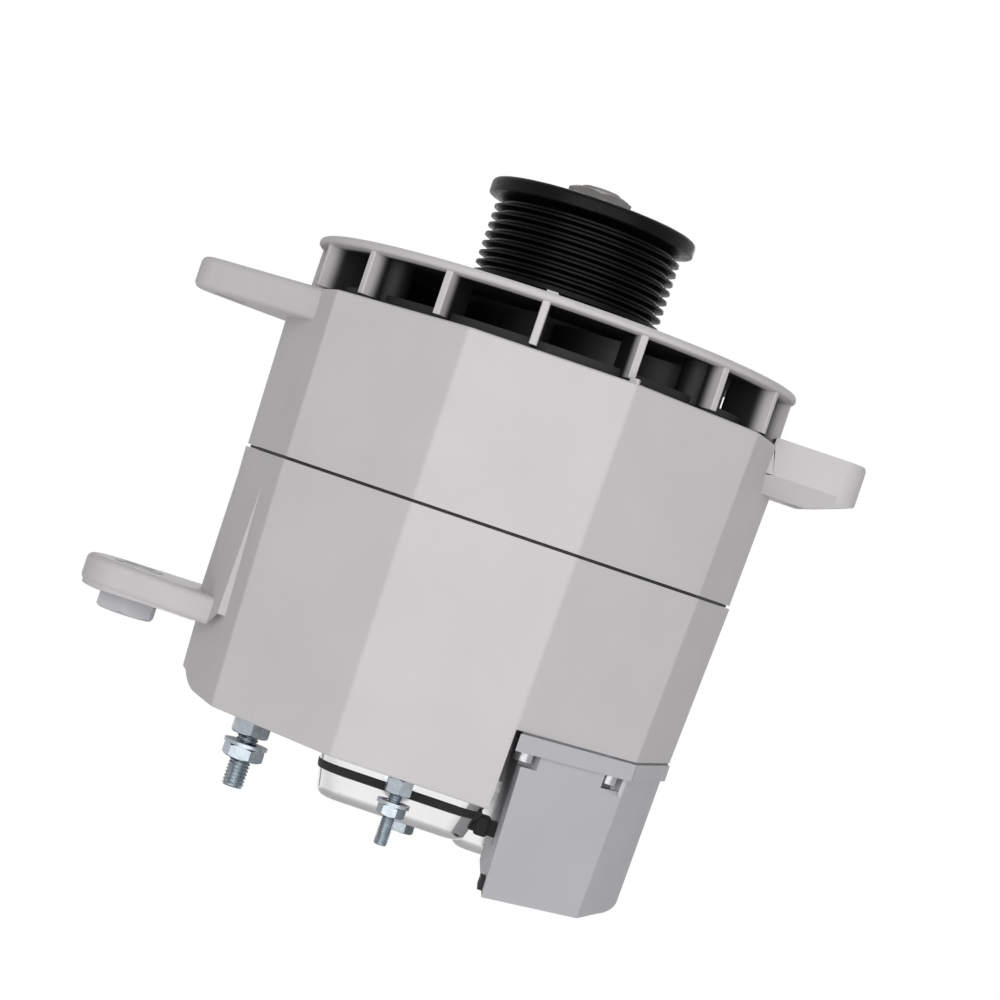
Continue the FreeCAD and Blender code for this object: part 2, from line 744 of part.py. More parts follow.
def make_rear_housing():
    rim = ten_sided(rear_radius_at_end, rear_face_z, rear_radius_at_seam, seam_z,
                    end_rounding=(edge_rounding * 0.6, rear_face_z))
    lug = lug_plate(rear_lug_radius, rear_lug_root_half, rear_ear_bottom_z, rear_ear_top_z)
    outside = fused([rim.cut(left_corner_tool()), lug_pad(), lug]).cut(notch_prism(0))
    cover_seat_z = rear_face_z - main_cover_depth + cover_wall
    pillars = holes(cover_pillar_radius, cover_seat_z, rear_face_z + past, main_cover_screws)
    casting = outside.cut(cavity()).fuse(rear_hub() + pillars)
    blind_z = end_wall_z - past
    tools = [seam_groove(seam_z - seam_gap / 2, seam_z + past)]
    tools += holes(bush_radius + seat_clearance, rear_face_z, seam_z, [(-lug_offset, 0)])
    tools += holes(case_bolt_radius + seat_clearance, seam_z - case_bolt_grip, seam_z + past,
                   case_bolt_places())
    tools += holes(output_stud[2] + stud_insulator_wall, rear_face_z - past, end_wall_z + past,
                   [output_stud[:2]])
    tools += holes(signal_stud[2] + seat_clearance, rear_face_z - past, end_wall_z, [signal_stud[:2]])
    tools += holes(small_screw_radius + seat_clearance, rear_face_z - past, blind_z, holder_screw_places())
    tools += holes(cover_screw_radius + seat_clearance, rear_face_z - past, blind_z, side_cover_tabs)
    tools += holes(cover_screw_radius + seat_clearance, cover_seat_z - past, blind_z, main_cover_screws)
    tools += holes(rectifier_screw_radius + seat_clearance, rear_face_z + past, end_wall_z + past,
                   rectifier_screw_places())
    tools += holes(regulator_screw_radius + seat_clearance, notch_z - past, notch_z + 3,
                   regulator_screw_places())
    tools += [turned(inlet_slot(), angle) for angle in inlet_angles()]
    tools.append(cylinder(rear_bearing[0] + seat_clearance, rear_bearing_z, rear_bearing_top_z + 10))
    tools.append(cylinder(slip_ring_radius + 1, rear_face_z - past, rear_bearing_z + past))
    return cut_all(casting, tools)


def make_hinge_bush():
    top = rear_ear_top_z + bush_proud
    sleeve = cylinder(bush_radius, rear_ear_bottom_z - past, top, -lug_offset)
    head_low = rear_ear_bottom_z - bush_hex_height
    head = nut_body(bush_hex_across_flats, head_low, rear_ear_bottom_z, -lug_offset)
    return sleeve.fuse(head).cut(cylinder(hinge_bore_radius, head_low - past, top + past, -lug_offset))


def case_bolt_seat_z():
    return deck_z - case_bolt_head_height - case_bolt_head_depth


def make_case_bolts():
    length = case_bolt_seat_z() - seam_z + case_bolt_grip - case_bolt_end_gap
    return fused([socket_screw(p, case_bolt_seat_z(), case_bolt_head_radius, case_bolt_head_height,
                               case_bolt_radius, length) for p in case_bolt_places()])


# Stator
def make_stator_core():
    low = seam_z - stator_length / 2 + seat_clearance
    pitch = 360.0 / slot_count
    mouth = math.degrees(slot_mouth / 2 / stator_bore_radius)
    throat = stator_bore_radius + slot_mouth_depth
    edges = []
    for k in range(slot_count):
        centre = pitch * k
        across = at_angle(1, centre + 90)
        out = at_angle(1, centre)
        profile = [(throat, slot_mouth), (throat + slot_shoulder, slot_width),
                   (slot_bottom_radius, slot_width)]
        left = [out * radius - across * (width / 2) for radius, width in profile]
        right = [out * radius + across * (width / 2) for radius, width in reversed(profile)]
        path = [at_angle(stator_bore_radius, centre - mouth)] + left + right
        path.append(at_angle(stator_bore_radius, centre + mouth))
        edges += [Part.LineSegment(a, b).toShape() for a, b in zip(path, path[1:])]
        tooth_end = at_angle(stator_bore_radius, centre + pitch - mouth)
        tooth_middle = at_angle(stator_bore_radius, centre + pitch / 2)
        edges.append(Part.Arc(path[-1], tooth_middle, tooth_end).toShape())
    bore = Part.Face(Part.Wire(edges))
    disc = Part.Face(Part.Wire(Part.makeCircle(stator_radius)))
    core = disc.cut(bore).extrude(V(0, 0, stator_length - 2 * seat_clearance))
    core.translate(V(0, 0, low))
    return core


def make_stator_windings():
    """End turns at both faces of the core, joined by the bars in its slots."""
    inner = stator_bore_radius + slot_mouth_depth + 2.5
    outer = slot_bottom_radius - slot_liner
    start = stator_length / 2 + winding_lift
    end = stator_length / 2 + winding_overhang
    profile = [(inner, start, 3.0), (outer + winding_spread, start, 3.0),
               (outer + winding_spread - 2, end, 6.0), (inner + 2, end, 6.0)]
    turns = [revolved([(radius, seam_z + side * height, rounding) for radius, height, rounding in profile])
             for side in (1, -1)]
    width = slot_width - 2 * slot_liner
    bar_end = start + 2.4
    bar = block(-width / 2, width / 2, -outer, -inner - 1.5, seam_z - bar_end, seam_z + bar_end)
    return fused(turns + around(slot_count, lambda: bar))


# Front end shield
def vane():
    """One radial vane, tapered in thickness from its root to a rounded outer edge."""
    half = vane_thickness / 2
    root = half * vane_root_share
    corners = [(-root, -vane_inner_radius, 0.6), (root, -vane_inner_radius, 0.6),
               (half, -vane_outer_radius, 0.5), (-half, -vane_outer_radius, 0.5)]
    return plan(corners, shield_seat_z, shield_top_z - 1)


def make_front_end_shield():
    inside = front_bearing[0] - 1
    plate = revolved([(inside, vane_top_z), (vane_outer_radius - 2, vane_top_z),
                      (shield_radius, vane_top_z + 0.6, 1.4), (shield_radius, shield_top_z, 1.6),
                      (inside, shield_top_z)])
    foot = ring(shield_foot_outer, vane_inner_radius, shield_seat_z, shield_seat_z + shield_foot_height)
    hub = revolved([(seal_hole_radius, front_bearing_z), (shield_hub_radius, front_bearing_z, 1.0),
                    (shield_hub_radius + 1.5, vane_top_z + 1), (shield_hub_radius - 2, hub_top_z, 1.5),
                    (seal_hole_radius, hub_top_z)])
    rib = block(-shield_rib_half, shield_rib_half, -vane_inner_radius - 6, 5 - shield_hub_radius,
                shield_top_z - 1, shield_top_z + shield_rib_height)
    bosses = holes(shield_screw_boss_radius, shield_seat_z, shield_top_z - 1, shield_screw_places())
    body = fused([plate, foot, hub] + around(vane_count, vane, vane_turn)
                 + around(shield_rib_count, lambda: rib, vane_turn) + bosses)
    tools = [cylinder(front_bearing[0] + seat_clearance, front_bearing_z - past, bearing_top_z)]
    tools += holes(shield_screw_radius + bolt_hole_clearance, shield_seat_z - past, shield_top_z + 3,
                   shield_screw_places())
    tools += holes(shield_screw_head_radius + bolt_hole_clearance, shield_top_z - shield_screw_head_height,
                   shield_top_z + 3, shield_screw_places())
    tools += holes(small_screw_radius + seat_clearance, front_bearing_z - past, front_bearing_z + 10,
                   retainer_screw_places())
    return cut_all(body, tools)


def make_shield_screws():
    return fused([socket_screw(p, shield_top_z - shield_screw_head_height, shield_screw_head_radius,
                               shield_screw_head_height, shield_screw_radius, shield_screw_length)
                  for p in shield_screw_places()])


# Bearings
def make_bearing(bearing, z_low):
    """Outer ring, inner ring, balls and cage of one deep-groove ball bearing."""
    outer, bore, width, ball, count = bearing
    pitch = (outer + bore) / 2
    shoulder = ball * race_shoulder_share
    z_high = z_low + width
    middle = (z_low + z_high) / 2
    groove = Part.makeTorus(pitch, ball + ball_clearance, V(0, 0, middle))
    outer_ring = revolved([(pitch + shoulder, z_low), (outer, z_low, race_rounding),
                           (outer, z_high, race_rounding), (pitch + shoulder, z_high)]).cut(groove)
    inner_ring = ring(pitch - shoulder, bore + seat_clearance, z_low, z_high).cut(groove)
    angles = [360.0 * k / count for k in range(count)]
    balls = [Part.makeSphere(ball, at_angle(pitch, angle, middle)) for angle in angles]
    half_height = ball + cage_rim
    half_width = ball * cage_half_share
    band = ring(pitch + half_width, pitch - half_width, middle - half_height, middle + half_height)
    pockets = [Part.makeCylinder(ball + ball_clearance, ball, at_angle(pitch - ball / 2, angle, middle),
                                 at_angle(1, angle)) for angle in angles]
    return outer_ring, inner_ring, Part.makeCompound(balls), cut_all(band, pockets)


def retainer_screw_places():
    return on_circle(retainer_screw_circle, (45, 135, 225, 315))


def make_retainer():
    plate = ring(shield_hub_radius - 0.5, front_bearing[0] - retainer_lip,
                 front_bearing_z - retainer_thickness, front_bearing_z)
    return cut_all(plate, holes(small_screw_radius + bolt_hole_clearance,
                                front_bearing_z - retainer_thickness - past, front_bearing_z + past,
                                retainer_screw_places()))


def make_retainer_screws():
    head_top = front_bearing_z - retainer_thickness
    return fused([socket_screw(p, head_top, small_screw_head_radius, 2.2, small_screw_radius, 11.0, up=False)
                  for p in retainer_screw_places()])


# Rotor
def make_shaft():
    pole_low = seam_z - pole_face
    pole_high = seam_z + pole_face
    bearing_seat = rear_bearing[1]
    collar = bearing_seat + shaft_shoulder
    thread_z = nut_seat_z - 0.6
    profile = [
        (0, shaft_bottom_z), (slip_ring_seat_radius, shaft_bottom_z, 0.8),
        (slip_ring_seat_radius, rear_bearing_z - 6), (bearing_seat, rear_bearing_z - 6),
        (bearing_seat, rear_bearing_top_z), (collar, rear_bearing_top_z), (collar, pole_low),
        (rotor_seat_radius, pole_low), (rotor_seat_radius, pole_high), (front_bearing[1], pole_high),
        (front_bearing[1], bearing_top_z), (pulley_seat_radius, bearing_top_z),
        (pulley_seat_radius, thread_z), (shaft_thread_radius, thread_z),
        (shaft_thread_radius, shaft_top_z, 1.2), (0, shaft_top_z)]
    return revolved(profile).cut(key_block())


def key_block():
    top = nut_seat_z - key_setback
    return block(-key_width / 2, key_width / 2, -pulley_seat_radius - key_height / 2,
                 -pulley_seat_radius + key_height / 2, top - key_length, top)


def claw(root_z, tip_z):
    """One claw: wide and deep at its pole plate, narrow and thin at its tip, turned round outside."""
    def section(z, inner, half_angle):
        outer = pole_radius * 1.1
        return [at_angle(inner, -half_angle, z), at_angle(outer, -half_angle, z),
                at_angle(outer, half_angle, z), at_angle(inner, half_angle, z)]

    def between(first, second):
        wires = [Part.makePolygon(points + points[:1]) for points in (first, second)]
        return Part.makeLoft(wires, True, True)

    share = pole_plate / claw_tip_reach
    back_z = root_z + (tip_z - root_z) * share
    back_half_angle = claw_root_half_angle + (claw_tip_half_angle - claw_root_half_angle) * share
    arm_inner = pole_disc_radius - claw_arm_inset
    arm = between(section(root_z, arm_inner, claw_root_half_angle),
                  section(back_z, arm_inner, back_half_angle))
    finger = between(section(root_z, claw_root_inner_radius, claw_root_half_angle),
                     section(tip_z, claw_tip_inner_radius, claw_tip_half_angle))
    low, high = sorted((root_z, tip_z))
    return arm.fuse(finger).common(cylinder(pole_radius, low, high))


def make_pole(front):
    sign = 1 if front else -1
    face = seam_z + sign * pole_face
    back = seam_z + sign * (pole_face - pole_plate)
    tip = face - sign * claw_tip_reach
    low, high = sorted((face, back))
    core_low, core_high = sorted((seam_z, back))
    first_angle = 0.0 if front else 180.0 / pole_pairs
    body = fused([cylinder(pole_disc_radius, low, high), cylinder(pole_core_radius, core_low, core_high)]
                 + around(pole_pairs, lambda: claw(face, tip), first_angle))
    return body.cut(cylinder(rotor_seat_radius + seat_clearance, core_low - pole_face, core_high + pole_face))


def make_bobbin():
    half = pole_face - pole_plate - seat_clearance
    inner = pole_core_radius + seat_clearance
    rim = coil_outer_radius + bobbin_rim
    tube = inner + bobbin_wall
    slot = half - bobbin_wall
    lower = [(inner, -half), (rim, -half), (rim, -slot), (tube, -slot)]
    upper = [(tube, slot), (rim, slot), (rim, half), (inner, half)]
    return revolved([(radius, seam_z + height) for radius, height in lower + upper])


def make_field_coil():
    half = pole_face - pole_plate - bobbin_wall - 2 * seat_clearance
    inner = pole_core_radius + bobbin_wall + 2 * seat_clearance
    return rounded_ring(coil_outer_radius, inner, seam_z - half, seam_z + half, 1.0)


def fan_blade():
    """One backward-swept blade, a thin curved strip between two arcs."""
    start = at_angle(fan_blade_inner_radius, 0)
    end = at_angle(fan_radius - 0.5, fan_blade_sweep)
    chord = end.sub(start)
    across = V(-chord.y, chord.x, 0).normalize()

    def arc_points(offset):
        middle = (start + end) * 0.5 + across * (offset - fan_blade_bow)
        return start + across * offset, middle, end + across * offset

    near = arc_points(-fan_blade_thickness / 2)
    far = arc_points(fan_blade_thickness / 2)
    edges = [Part.Arc(*near).toShape(), Part.LineSegment(near[2], far[2]).toShape(),
             Part.Arc(*reversed(far)).toShape(), Part.LineSegment(far[0], near[0]).toShape()]
    low = fan_disc_z + fan_disc_thickness / 2
    blade = Part.Face(Part.Wire(edges)).extrude(V(0, 0, vane_top_z - fan_top_gap - low))
    blade.translate(V(0, 0, low))
    return blade


def make_fan():
    disc = cylinder(fan_radius, fan_disc_z, fan_disc_z + fan_disc_thickness)
    hub = cylinder(fan_hub_radius, fan_hub_bottom_z, front_bearing_z)
    inner, outer = fan_hub_radius + fan_inlet_gap, fan_blade_inner_radius - fan_inlet_gap
    narrow, wide = fan_inlet_half
    inlet = plan([(-narrow, -inner, 3), (narrow, -inner, 3), (wide, -outer, 4), (-wide, -outer, 4)],
                 fan_disc_z - past, fan_disc_z + fan_disc_thickness + past)
    inlets = around(fan_inlet_count, lambda: inlet)
    bore = cylinder(front_bearing[1] + seat_clearance, fan_hub_bottom_z - past, front_bearing_z + past)
    relief = ring(fan_hub_radius + 1, front_bearing[1] + 4.5, front_bearing_z - 2, front_bearing_z + past)
    return fused([disc, hub] + around(fan_blade_count, fan_blade)).cut(fused([bore, relief] + inlets))


# Pulley
def make_pulley():
    """Ribbed pulley: belt grooves, outer flange, nut recess, and a hollow behind the web."""
    half_land = groove_land / 2
    valley_radius = ridge_radius - groove_depth
    rim = []
    for k in range(groove_count):
        low = -groove_half_span + groove_pitch * k
        middle = low + groove_pitch / 2
        if k:
            rim.append((ridge_radius, low - half_land))
        rim += [(ridge_radius, low + half_land), (valley_radius, middle - half_land),
                (valley_radius, middle + half_land)]
    rim += [(ridge_radius, groove_half_span - half_land),
            (pulley_flange_radius, groove_half_span + 0.8, 0.8),
            (pulley_flange_radius, pulley_top_z, pulley_flange_rounding)]
    web_low = nut_seat_z - pulley_web_thickness
    bore = pulley_seat_radius + seat_clearance
    profile = [(bore, pulley_hub_bottom_z), (pulley_hub_radius, pulley_hub_bottom_z, 1.0),
               (pulley_hub_radius, web_low, 3.0), (pulley_rim_inner_radius, web_low, 3.0),
               (pulley_rim_inner_radius, pulley_bottom_z), (ridge_radius, pulley_bottom_z, 0.5)]
    profile += rim
    profile += [(nut_recess_radius + nut_recess_flare, pulley_top_z, 1.0),
                (nut_recess_radius, nut_seat_z, 1.5), (bore, nut_seat_z)]
    return revolved(profile).cut(key_block())


# Slip rings and brush gear
def slip_ring_levels():
    """Lower and upper z of each slip ring, the upper ring first."""
    second = slip_rings_z - slip_ring_width - slip_ring_gap
    return [(top - slip_ring_width, top) for top in (slip_rings_z, second)]


def make_slip_ring_hub():
    low = slip_rings_z - slip_rings_length
    return ring(slip_ring_radius - slip_ring_thickness, slip_ring_seat_radius + seat_clearance, low - 0.4,
                slip_rings_z + 1)


def make_slip_rings():
    inner = slip_ring_radius - slip_ring_thickness + seat_clearance
    return [rounded_ring(slip_ring_radius, inner, low, high, 0.4) for low, high in slip_ring_levels()]


def brush_section(level, clearance):
    """Half width, lowest and highest z of a brush, or of its channel with a clearance."""
    middle = (level[0] + level[1]) / 2
    half_height = brush_height / 2 + clearance
    return brush_width / 2 + clearance, middle - half_height, middle + half_height


def holder_screw_places():
    return [(-holder_screw_x, -holder_screw_y), (holder_screw_x, -holder_screw_y)]


def holder_ends():
    """Far and near y of the brush holder, in front of the slip rings."""
    near = -slip_ring_radius - holder_start
    return near - holder_length, near


def make_brush_holder():
    levels = slip_ring_levels()
    far, near = holder_ends()
    low = levels[1][0] - holder_floor
    body = block(-holder_half_width, holder_half_width, far, near, low, rear_face_z)
    ear_low = rear_face_z - holder_lug_thickness
    lugs = holes(holder_lug_radius, ear_low, rear_face_z, holder_screw_places())
    bridge = block(-holder_screw_x, holder_screw_x, -holder_screw_y - holder_lug_radius,
                   -holder_screw_y + holder_lug_radius, ear_low, rear_face_z)
    tools = []
    for level in levels:
        half_width, z_low, z_high = brush_section(level, brush_side_clearance)
        tools.append(block(-half_width, half_width, far + holder_end_wall, near + past, z_low, z_high))
    tools += holes(small_screw_radius + bolt_hole_clearance, ear_low - past, rear_face_z + past,
                   holder_screw_places())
    return cut_all(fused([body, bridge] + lugs), tools)


def make_holder_screws():
    return fused([socket_screw(p, rear_face_z - holder_lug_thickness, small_screw_head_radius, 2.8,
                               small_screw_radius, 8.0, up=False) for p in holder_screw_places()])


def make_brush(level):
    half_width, z_low, z_high = brush_section(level, 0)
    near = 1 - slip_ring_radius
    carbon = block(-half_width, half_width, near - brush_length - 1, near, z_low, z_high)
    return carbon.cut(cylinder(slip_ring_radius + brush_gap, z_low - past, z_high + past))


def make_brush_spring(level):
    """Coil spring between the brush and the end of its channel, as a helix of round wire."""
    middle = (level[0] + level[1]) / 2
    start = -slip_ring_radius - brush_length - 0.3
    end = holder_ends()[0] + holder_end_wall + 0.3
    length = start - end
    helix = Part.makeHelix(length / spring_turns, length, spring_coil_radius)
    section = Part.Wire(Part.makeCircle(spring_wire_radius, V(spring_coil_radius, 0, 0), V(0, 1, 0)))
    coil = Part.Wire(helix.Edges).makePipeShell([section], True, True)
    coil.rotate(V(0, 0, 0), V(1, 0, 0), 90)
    coil.translate(V(0, start, middle))
    return coil


# Covers
def pressed_cover(bounds, depth, rounding, edge, leans):
    """Pressed sheet cover open at the rear face, with leaning sides and rounded corners."""
    x_low, x_high, y_low, y_high = bounds
    lean_low, lean_high = leans

    def solid(shrink):
        top_z = rear_face_z + (past if shrink else 0)
        low_z = rear_face_z - depth + shrink
        inner = rectangle(x_low + shrink, x_high - shrink, y_low + shrink, y_high - shrink, top_z)
        outer = rectangle(x_low + shrink + lean_low, x_high - shrink - lean_high,
                          y_low + shrink + cover_lean, y_high - shrink - cover_lean, low_z)
        shape = frustum(outer, inner)
        shape = shape.makeFillet(rounding - shrink, rising_edges(shape))
        return shape.makeFillet(edge - shrink, edges_at(shape, low_z))

    return solid(0).cut(solid(cover_wall))


def make_brush_cover():
    cover = pressed_cover(main_cover, main_cover_depth, 9.0, 4.0, (3.0, 4.5))
    screw_holes = holes(cover_screw_radius + bolt_hole_clearance, rear_face_z - main_cover_depth - past,
                        rear_face_z + past, main_cover_screws)
    return cut_all(cover, screw_holes + [grommet_core(fit_clearance)])


def make_side_cover():
    """Deeper cover beside the regulator, with two screw tabs on the rear face."""
    cover = pressed_cover(side_cover, side_cover_depth, 8.0, 4.5, (cover_lean, cover_lean))
    x_low, x_high, y_low, y_high = side_cover
    (left_x, left_y), (back_x, back_y) = side_cover_tabs
    half = cover_tab_half
    tab_low = rear_face_z - cover_wall
    left = plan([(left_x - half, left_y - half, cover_tab_rounding), (x_low + 2, left_y - half, 0),
                 (x_low + 2, left_y + half, 0), (left_x - half, left_y + half, cover_tab_rounding)],
                tab_low, rear_face_z)
    back = plan([(back_x - half, y_high - 2, 0), (back_x + half, y_high - 2, 0),
                 (back_x + half, back_y + half, cover_tab_rounding),
                 (back_x - half, back_y + half, cover_tab_rounding)], tab_low, rear_face_z)
    inset = cover_wall + 0.3
    inside = block(x_low + inset, x_high - inset, y_low + inset, y_high - inset, tab_low - past,
                   rear_face_z + past)
    screw_holes = holes(cover_screw_radius + bolt_hole_clearance, tab_low - past, rear_face_z + past,
                        side_cover_tabs)
    return cut_all(fused([cover, left, back]), screw_holes + [inside])


def make_cover_screws():
    main_head = rear_face_z - main_cover_depth
    tab_head = rear_face_z - cover_wall
    lengths = main_cover_depth + cover_screw_bite - 1, cover_wall + cover_screw_bite
    screws = [hex_screw(x, y, main_head, lengths[0]) for x, y in main_cover_screws]
    screws += [hex_screw(x, y, tab_head, lengths[1]) for x, y in side_cover_tabs]
    return fused(screws)


def make_capacitor():
    """Capacitor can lying under the deeper cover, on a saddle that carries it off the rear face."""
    x_low, x_high, y_low, y_high = side_cover
    middle_x = (x_low + x_high) / 2
    middle_y = (y_low + y_high) / 2
    can = Part.makeCylinder(9.0, x_high - x_low - 12, V(x_low + 6, middle_y, rear_face_z - 14), V(1, 0, 0))
    saddle = block(middle_x - 5, middle_x + 5, middle_y - 8, middle_y + 8, rear_face_z - 12, rear_face_z)
    return can.fuse(saddle)


# Regulator
def regulator_region(inset, z_low, z_high, taper=0.0):
    """The regulator's plan at one inset: the casting's outline inside the notch's two straight sides."""
    high = rear_radius(notch_z) - inset / corner_to_flat
    hull = ten_sided(high - taper, z_low, high, z_high, max(corner_rounding - inset, 4.0))
    left = notch_side + regulator_gap + inset * 0.4
    back = notch_back - regulator_gap - inset * 0.4
    reach = rear_radius_at_seam * 1.5
    corner = frustum(rectangle(left + taper, reach, -reach, back - taper, z_low),
                     rectangle(left, reach, -reach, back, z_high))
    return hull.common(corner)


def regulator_screw_places():
    """Two screws along the front facet, and two along the back."""
    radius = rear_radius(notch_z) * corner_to_flat - regulator_screw_inset
    facet = first_corner + 180.0 / facet_count
    out = at_angle(radius, facet)
    along = at_angle(1, facet + 90)
    left = out - along * regulator_screw_spread[0]
    right = out + along * regulator_screw_spread[1]
    back_y = notch_back - regulator_gap - regulator_screw_inset - 0.8
    return [(left.x, left.y), (right.x, right.y)] + [(x, back_y) for x in regulator_back_screws]


def make_regulator_gasket():
    screw_holes = holes(regulator_screw_radius + bolt_hole_clearance, gasket_bottom_z - past, notch_z + past,
                        regulator_screw_places())
    return cut_all(regulator_region(gasket_inset, gasket_bottom_z, notch_z), screw_holes)


def make_regulator_flange():
    """Flange plate under the gasket, with a small slot at its right front corner."""
    plate = regulator_region(0.0, flange_bottom_z, gasket_bottom_z)
    reach = rear_radius(notch_z)
    slot = block(-flange_slot_half, flange_slot_half, -reach - past, flange_slot_depth - reach,
                 flange_bottom_z - past, gasket_bottom_z + past)
    slot = turned(slot, first_corner + 360.0 / facet_count + 1)
    screw_holes = holes(regulator_screw_radius + bolt_hole_clearance, flange_bottom_z - past,
                        gasket_bottom_z + past, regulator_screw_places())
    return cut_all(plate, screw_holes + [slot])


def make_regulator_box():
    """Die-cast box, hollow inside, with a pocket in its upper edge for each flange screw."""
    shell = regulator_region(regulator_inset, box_bottom_z, flange_bottom_z, regulator_taper)
    radius = regulator_foot_rounding
    right = rear_radius(notch_z) - regulator_inset - regulator_taper - 2.0
    reach = rear_radius_at_seam
    corner = block(right - radius, reach, -reach, reach, box_bottom_z - past, box_bottom_z + radius)
    round_start = V(right - radius, -reach - 1, box_bottom_z + radius)
    round_edge = Part.makeCylinder(radius, 2 * reach + 2, round_start, V(0, 1, 0))
    shell = shell.cut(corner.cut(round_edge))
    inside = regulator_region(regulator_inset + regulator_wall, box_bottom_z + regulator_wall,
                              flange_bottom_z + past, regulator_taper)
    inside = inside.common(block(0, right - regulator_wall - 1, -reach, reach, box_bottom_z,
                                 flange_bottom_z + past))
    pocket_radius = regulator_screw_head_radius + regulator_pocket_gap
    pocket_low = flange_bottom_z - regulator_screw_head_height - 2.2
    pads = [pad.common(shell) for pad in holes(pocket_radius + regulator_pad_wall - regulator_pocket_gap,
                                               pocket_low - 2.8, flange_bottom_z, regulator_screw_places())]
    pockets = holes(pocket_radius, pocket_low, flange_bottom_z + past, regulator_screw_places())
    tools = pockets + [grommet_core(fit_clearance), plug_block(fit_clearance)]
    return cut_all(shell.cut(inside).fuse(pads), tools)


def make_regulator_screws():
    length = regulator_flange_thickness + gasket_thickness + 2.5
    return fused([socket_screw(p, flange_bottom_z, regulator_screw_head_radius, regulator_screw_head_height,
                               regulator_screw_radius, length, up=False) for p in regulator_screw_places()])


def make_regulator_circuit():
    """Potted circuit on the flange, inside the box."""
    left = notch_side + 12
    right = rear_radius_at_end - 16.5
    return plan([(left, -55, 3), (right - 8, -43, 3), (right, 8, 3), (left, 8, 3)], flange_bottom_z - 26,
                flange_bottom_z)


def centred_block(x, y, z, half):
    half_x, half_y, half_z = half
    return block(x - half_x, x + half_x, y - half_y, y + half_y, z - half_z, z + half_z)


def grommet_core(grow):
    """Lead grommet between the bright cover and the regulator box, or its hole in both of them."""
    x, y = grommet_place
    return centred_block(x, y, rear_face_z - grommet_drop, [half + grow for half in grommet_half])


def make_lead_grommet():
    x, y = grommet_place
    collar = centred_block(x, y, rear_face_z - grommet_drop, grommet_collar_half)
    return grommet_core(0).fuse(collar.makeFillet(1.2, collar.Edges))


def plug_block(grow):
    """Plug socket at the foot of the regulator box, or its opening in the box."""
    width, depth, height = plug_size
    left = notch_side + regulator_gap
    low = box_bottom_z + plug_lift
    return block(left - grow, left + width + grow, plug_front - grow, plug_front + depth + grow, low - grow,
                 low + height + grow)


def make_regulator_plug():
    width, depth, height = plug_size
    left = notch_side + regulator_gap
    low = box_bottom_z + plug_lift
    socket = block(left - past, left + width - 2 * plug_wall, plug_front + 2 * plug_wall,
                   plug_front + depth - 2 * plug_wall, low + plug_wall, low + height - plug_wall)
    return plug_block(0).cut(socket)


# Rectifier
def rectifier_sector(z_low, z_high):
    """Horseshoe plate round the rear hub, clear of the regulator notch."""
    start, end = rectifier_start, rectifier_end
    outer, inner = rectifier_outer_radius, rectifier_inner_radius
    middle = (start + end) / 2
    edges = [Part.Arc(at_angle(outer, start, z_low), at_angle(outer, middle, z_low),
                      at_angle(outer, end, z_low)).toShape(),
             Part.LineSegment(at_angle(outer, end, z_low), at_angle(inner, end, z_low)).toShape(),
             Part.Arc(at_angle(inner, end, z_low), at_angle(inner, middle, z_low),
                      at_angle(inner, start, z_low)).toShape(),
             Part.LineSegment(at_angle(inner, start, z_low), at_angle(outer, start, z_low)).toShape()]
    return Part.Face(Part.Wire(edges)).extrude(V(0, 0, z_high - z_low))


def rectifier_screw_places():
    return on_circle(rectifier_screw_circle, rectifier_screw_angles)


def diode_places():
    """Places of the three diodes of each plate: positive ones first."""
    return [on_circle(diode_circle, angles) for angles in diode_angles]


def make_rectifier_plate(z_high, diodes, others, stud_hole_radius):
    z_low = z_high - rectifier_plate
    ends = (z_low - past, z_high + past)
    tools = holes(diode_radius + seat_clearance, *ends, diodes)
    tools += holes(diode_radius + diode_hole_gap, *ends, others)
    tools += holes(rectifier_screw_radius + spacer_gap, *ends, rectifier_screw_places())
    tools += holes(stud_hole_radius, *ends, [output_stud[:2]])
    return cut_all(rectifier_sector(z_low, z_high), tools)


def make_diodes():
    """Pressed-in diode cans, each with its lead on top."""
    solids = []
    for places, plate_top in zip(diode_places(), (positive_plate_z, negative_plate_z)):
        low = plate_top - rectifier_plate - 1
        can_top = plate_top + 2.5
        for x, y in places:
            solids.append(revolved([(0, low), (diode_radius, low, 0.6), (diode_radius, can_top, 1.0),
                                    (1.0, can_top), (1.0, can_top + 4.5), (0, can_top + 4.5)], x, y))
    return solids


def make_rectifier_screws():
    length = negative_plate_z - end_wall_z + rectifier_screw_bite
    return fused([socket_screw(p, negative_plate_z, rectifier_screw_head_radius, rectifier_screw_head_height,
                               rectifier_screw_radius, length) for p in rectifier_screw_places()])


def make_rectifier_spacers():
    """Insulating tubes that carry the plates off the end wall and off each other."""
    spans = ((positive_plate_z, negative_plate_z - rectifier_plate),
             (end_wall_z, positive_plate_z - rectifier_plate))
    return [ring(spacer_radius, rectifier_screw_radius + seat_clearance, low, high, x, y)
            for x, y in rectifier_screw_places() for low, high in spans]


# Terminal studs
def make_stud(stud, top):
    x, y, radius, reach = stud[:4]
    low = rear_face_z - reach
    return revolved([(0, low), (radius, low, radius * 0.2), (radius, top), (0, top)], x, y)


def make_stud_nuts(stud):
    """Upper nut against the casting, and a thinner one below the gap for the cable terminal."""
    x, y, radius, reach, flats, height, washer = stud
    upper_low = rear_face_z - height
    lower_top = upper_low - stud_cable_gap - stud_washer_thickness
    return [nut(flats, radius, upper_low, rear_face_z, x, y, 8.0),
            nut(flats, radius, lower_top - height * thin_nut_share, lower_top, x, y, 24.0)]


def make_stud_washer(stud):
    x, y, radius, reach, flats, height, washer = stud
    top = rear_face_z - height - stud_cable_gap
    return ring(washer, radius + seat_clearance, top - stud_washer_thickness, top, x, y)


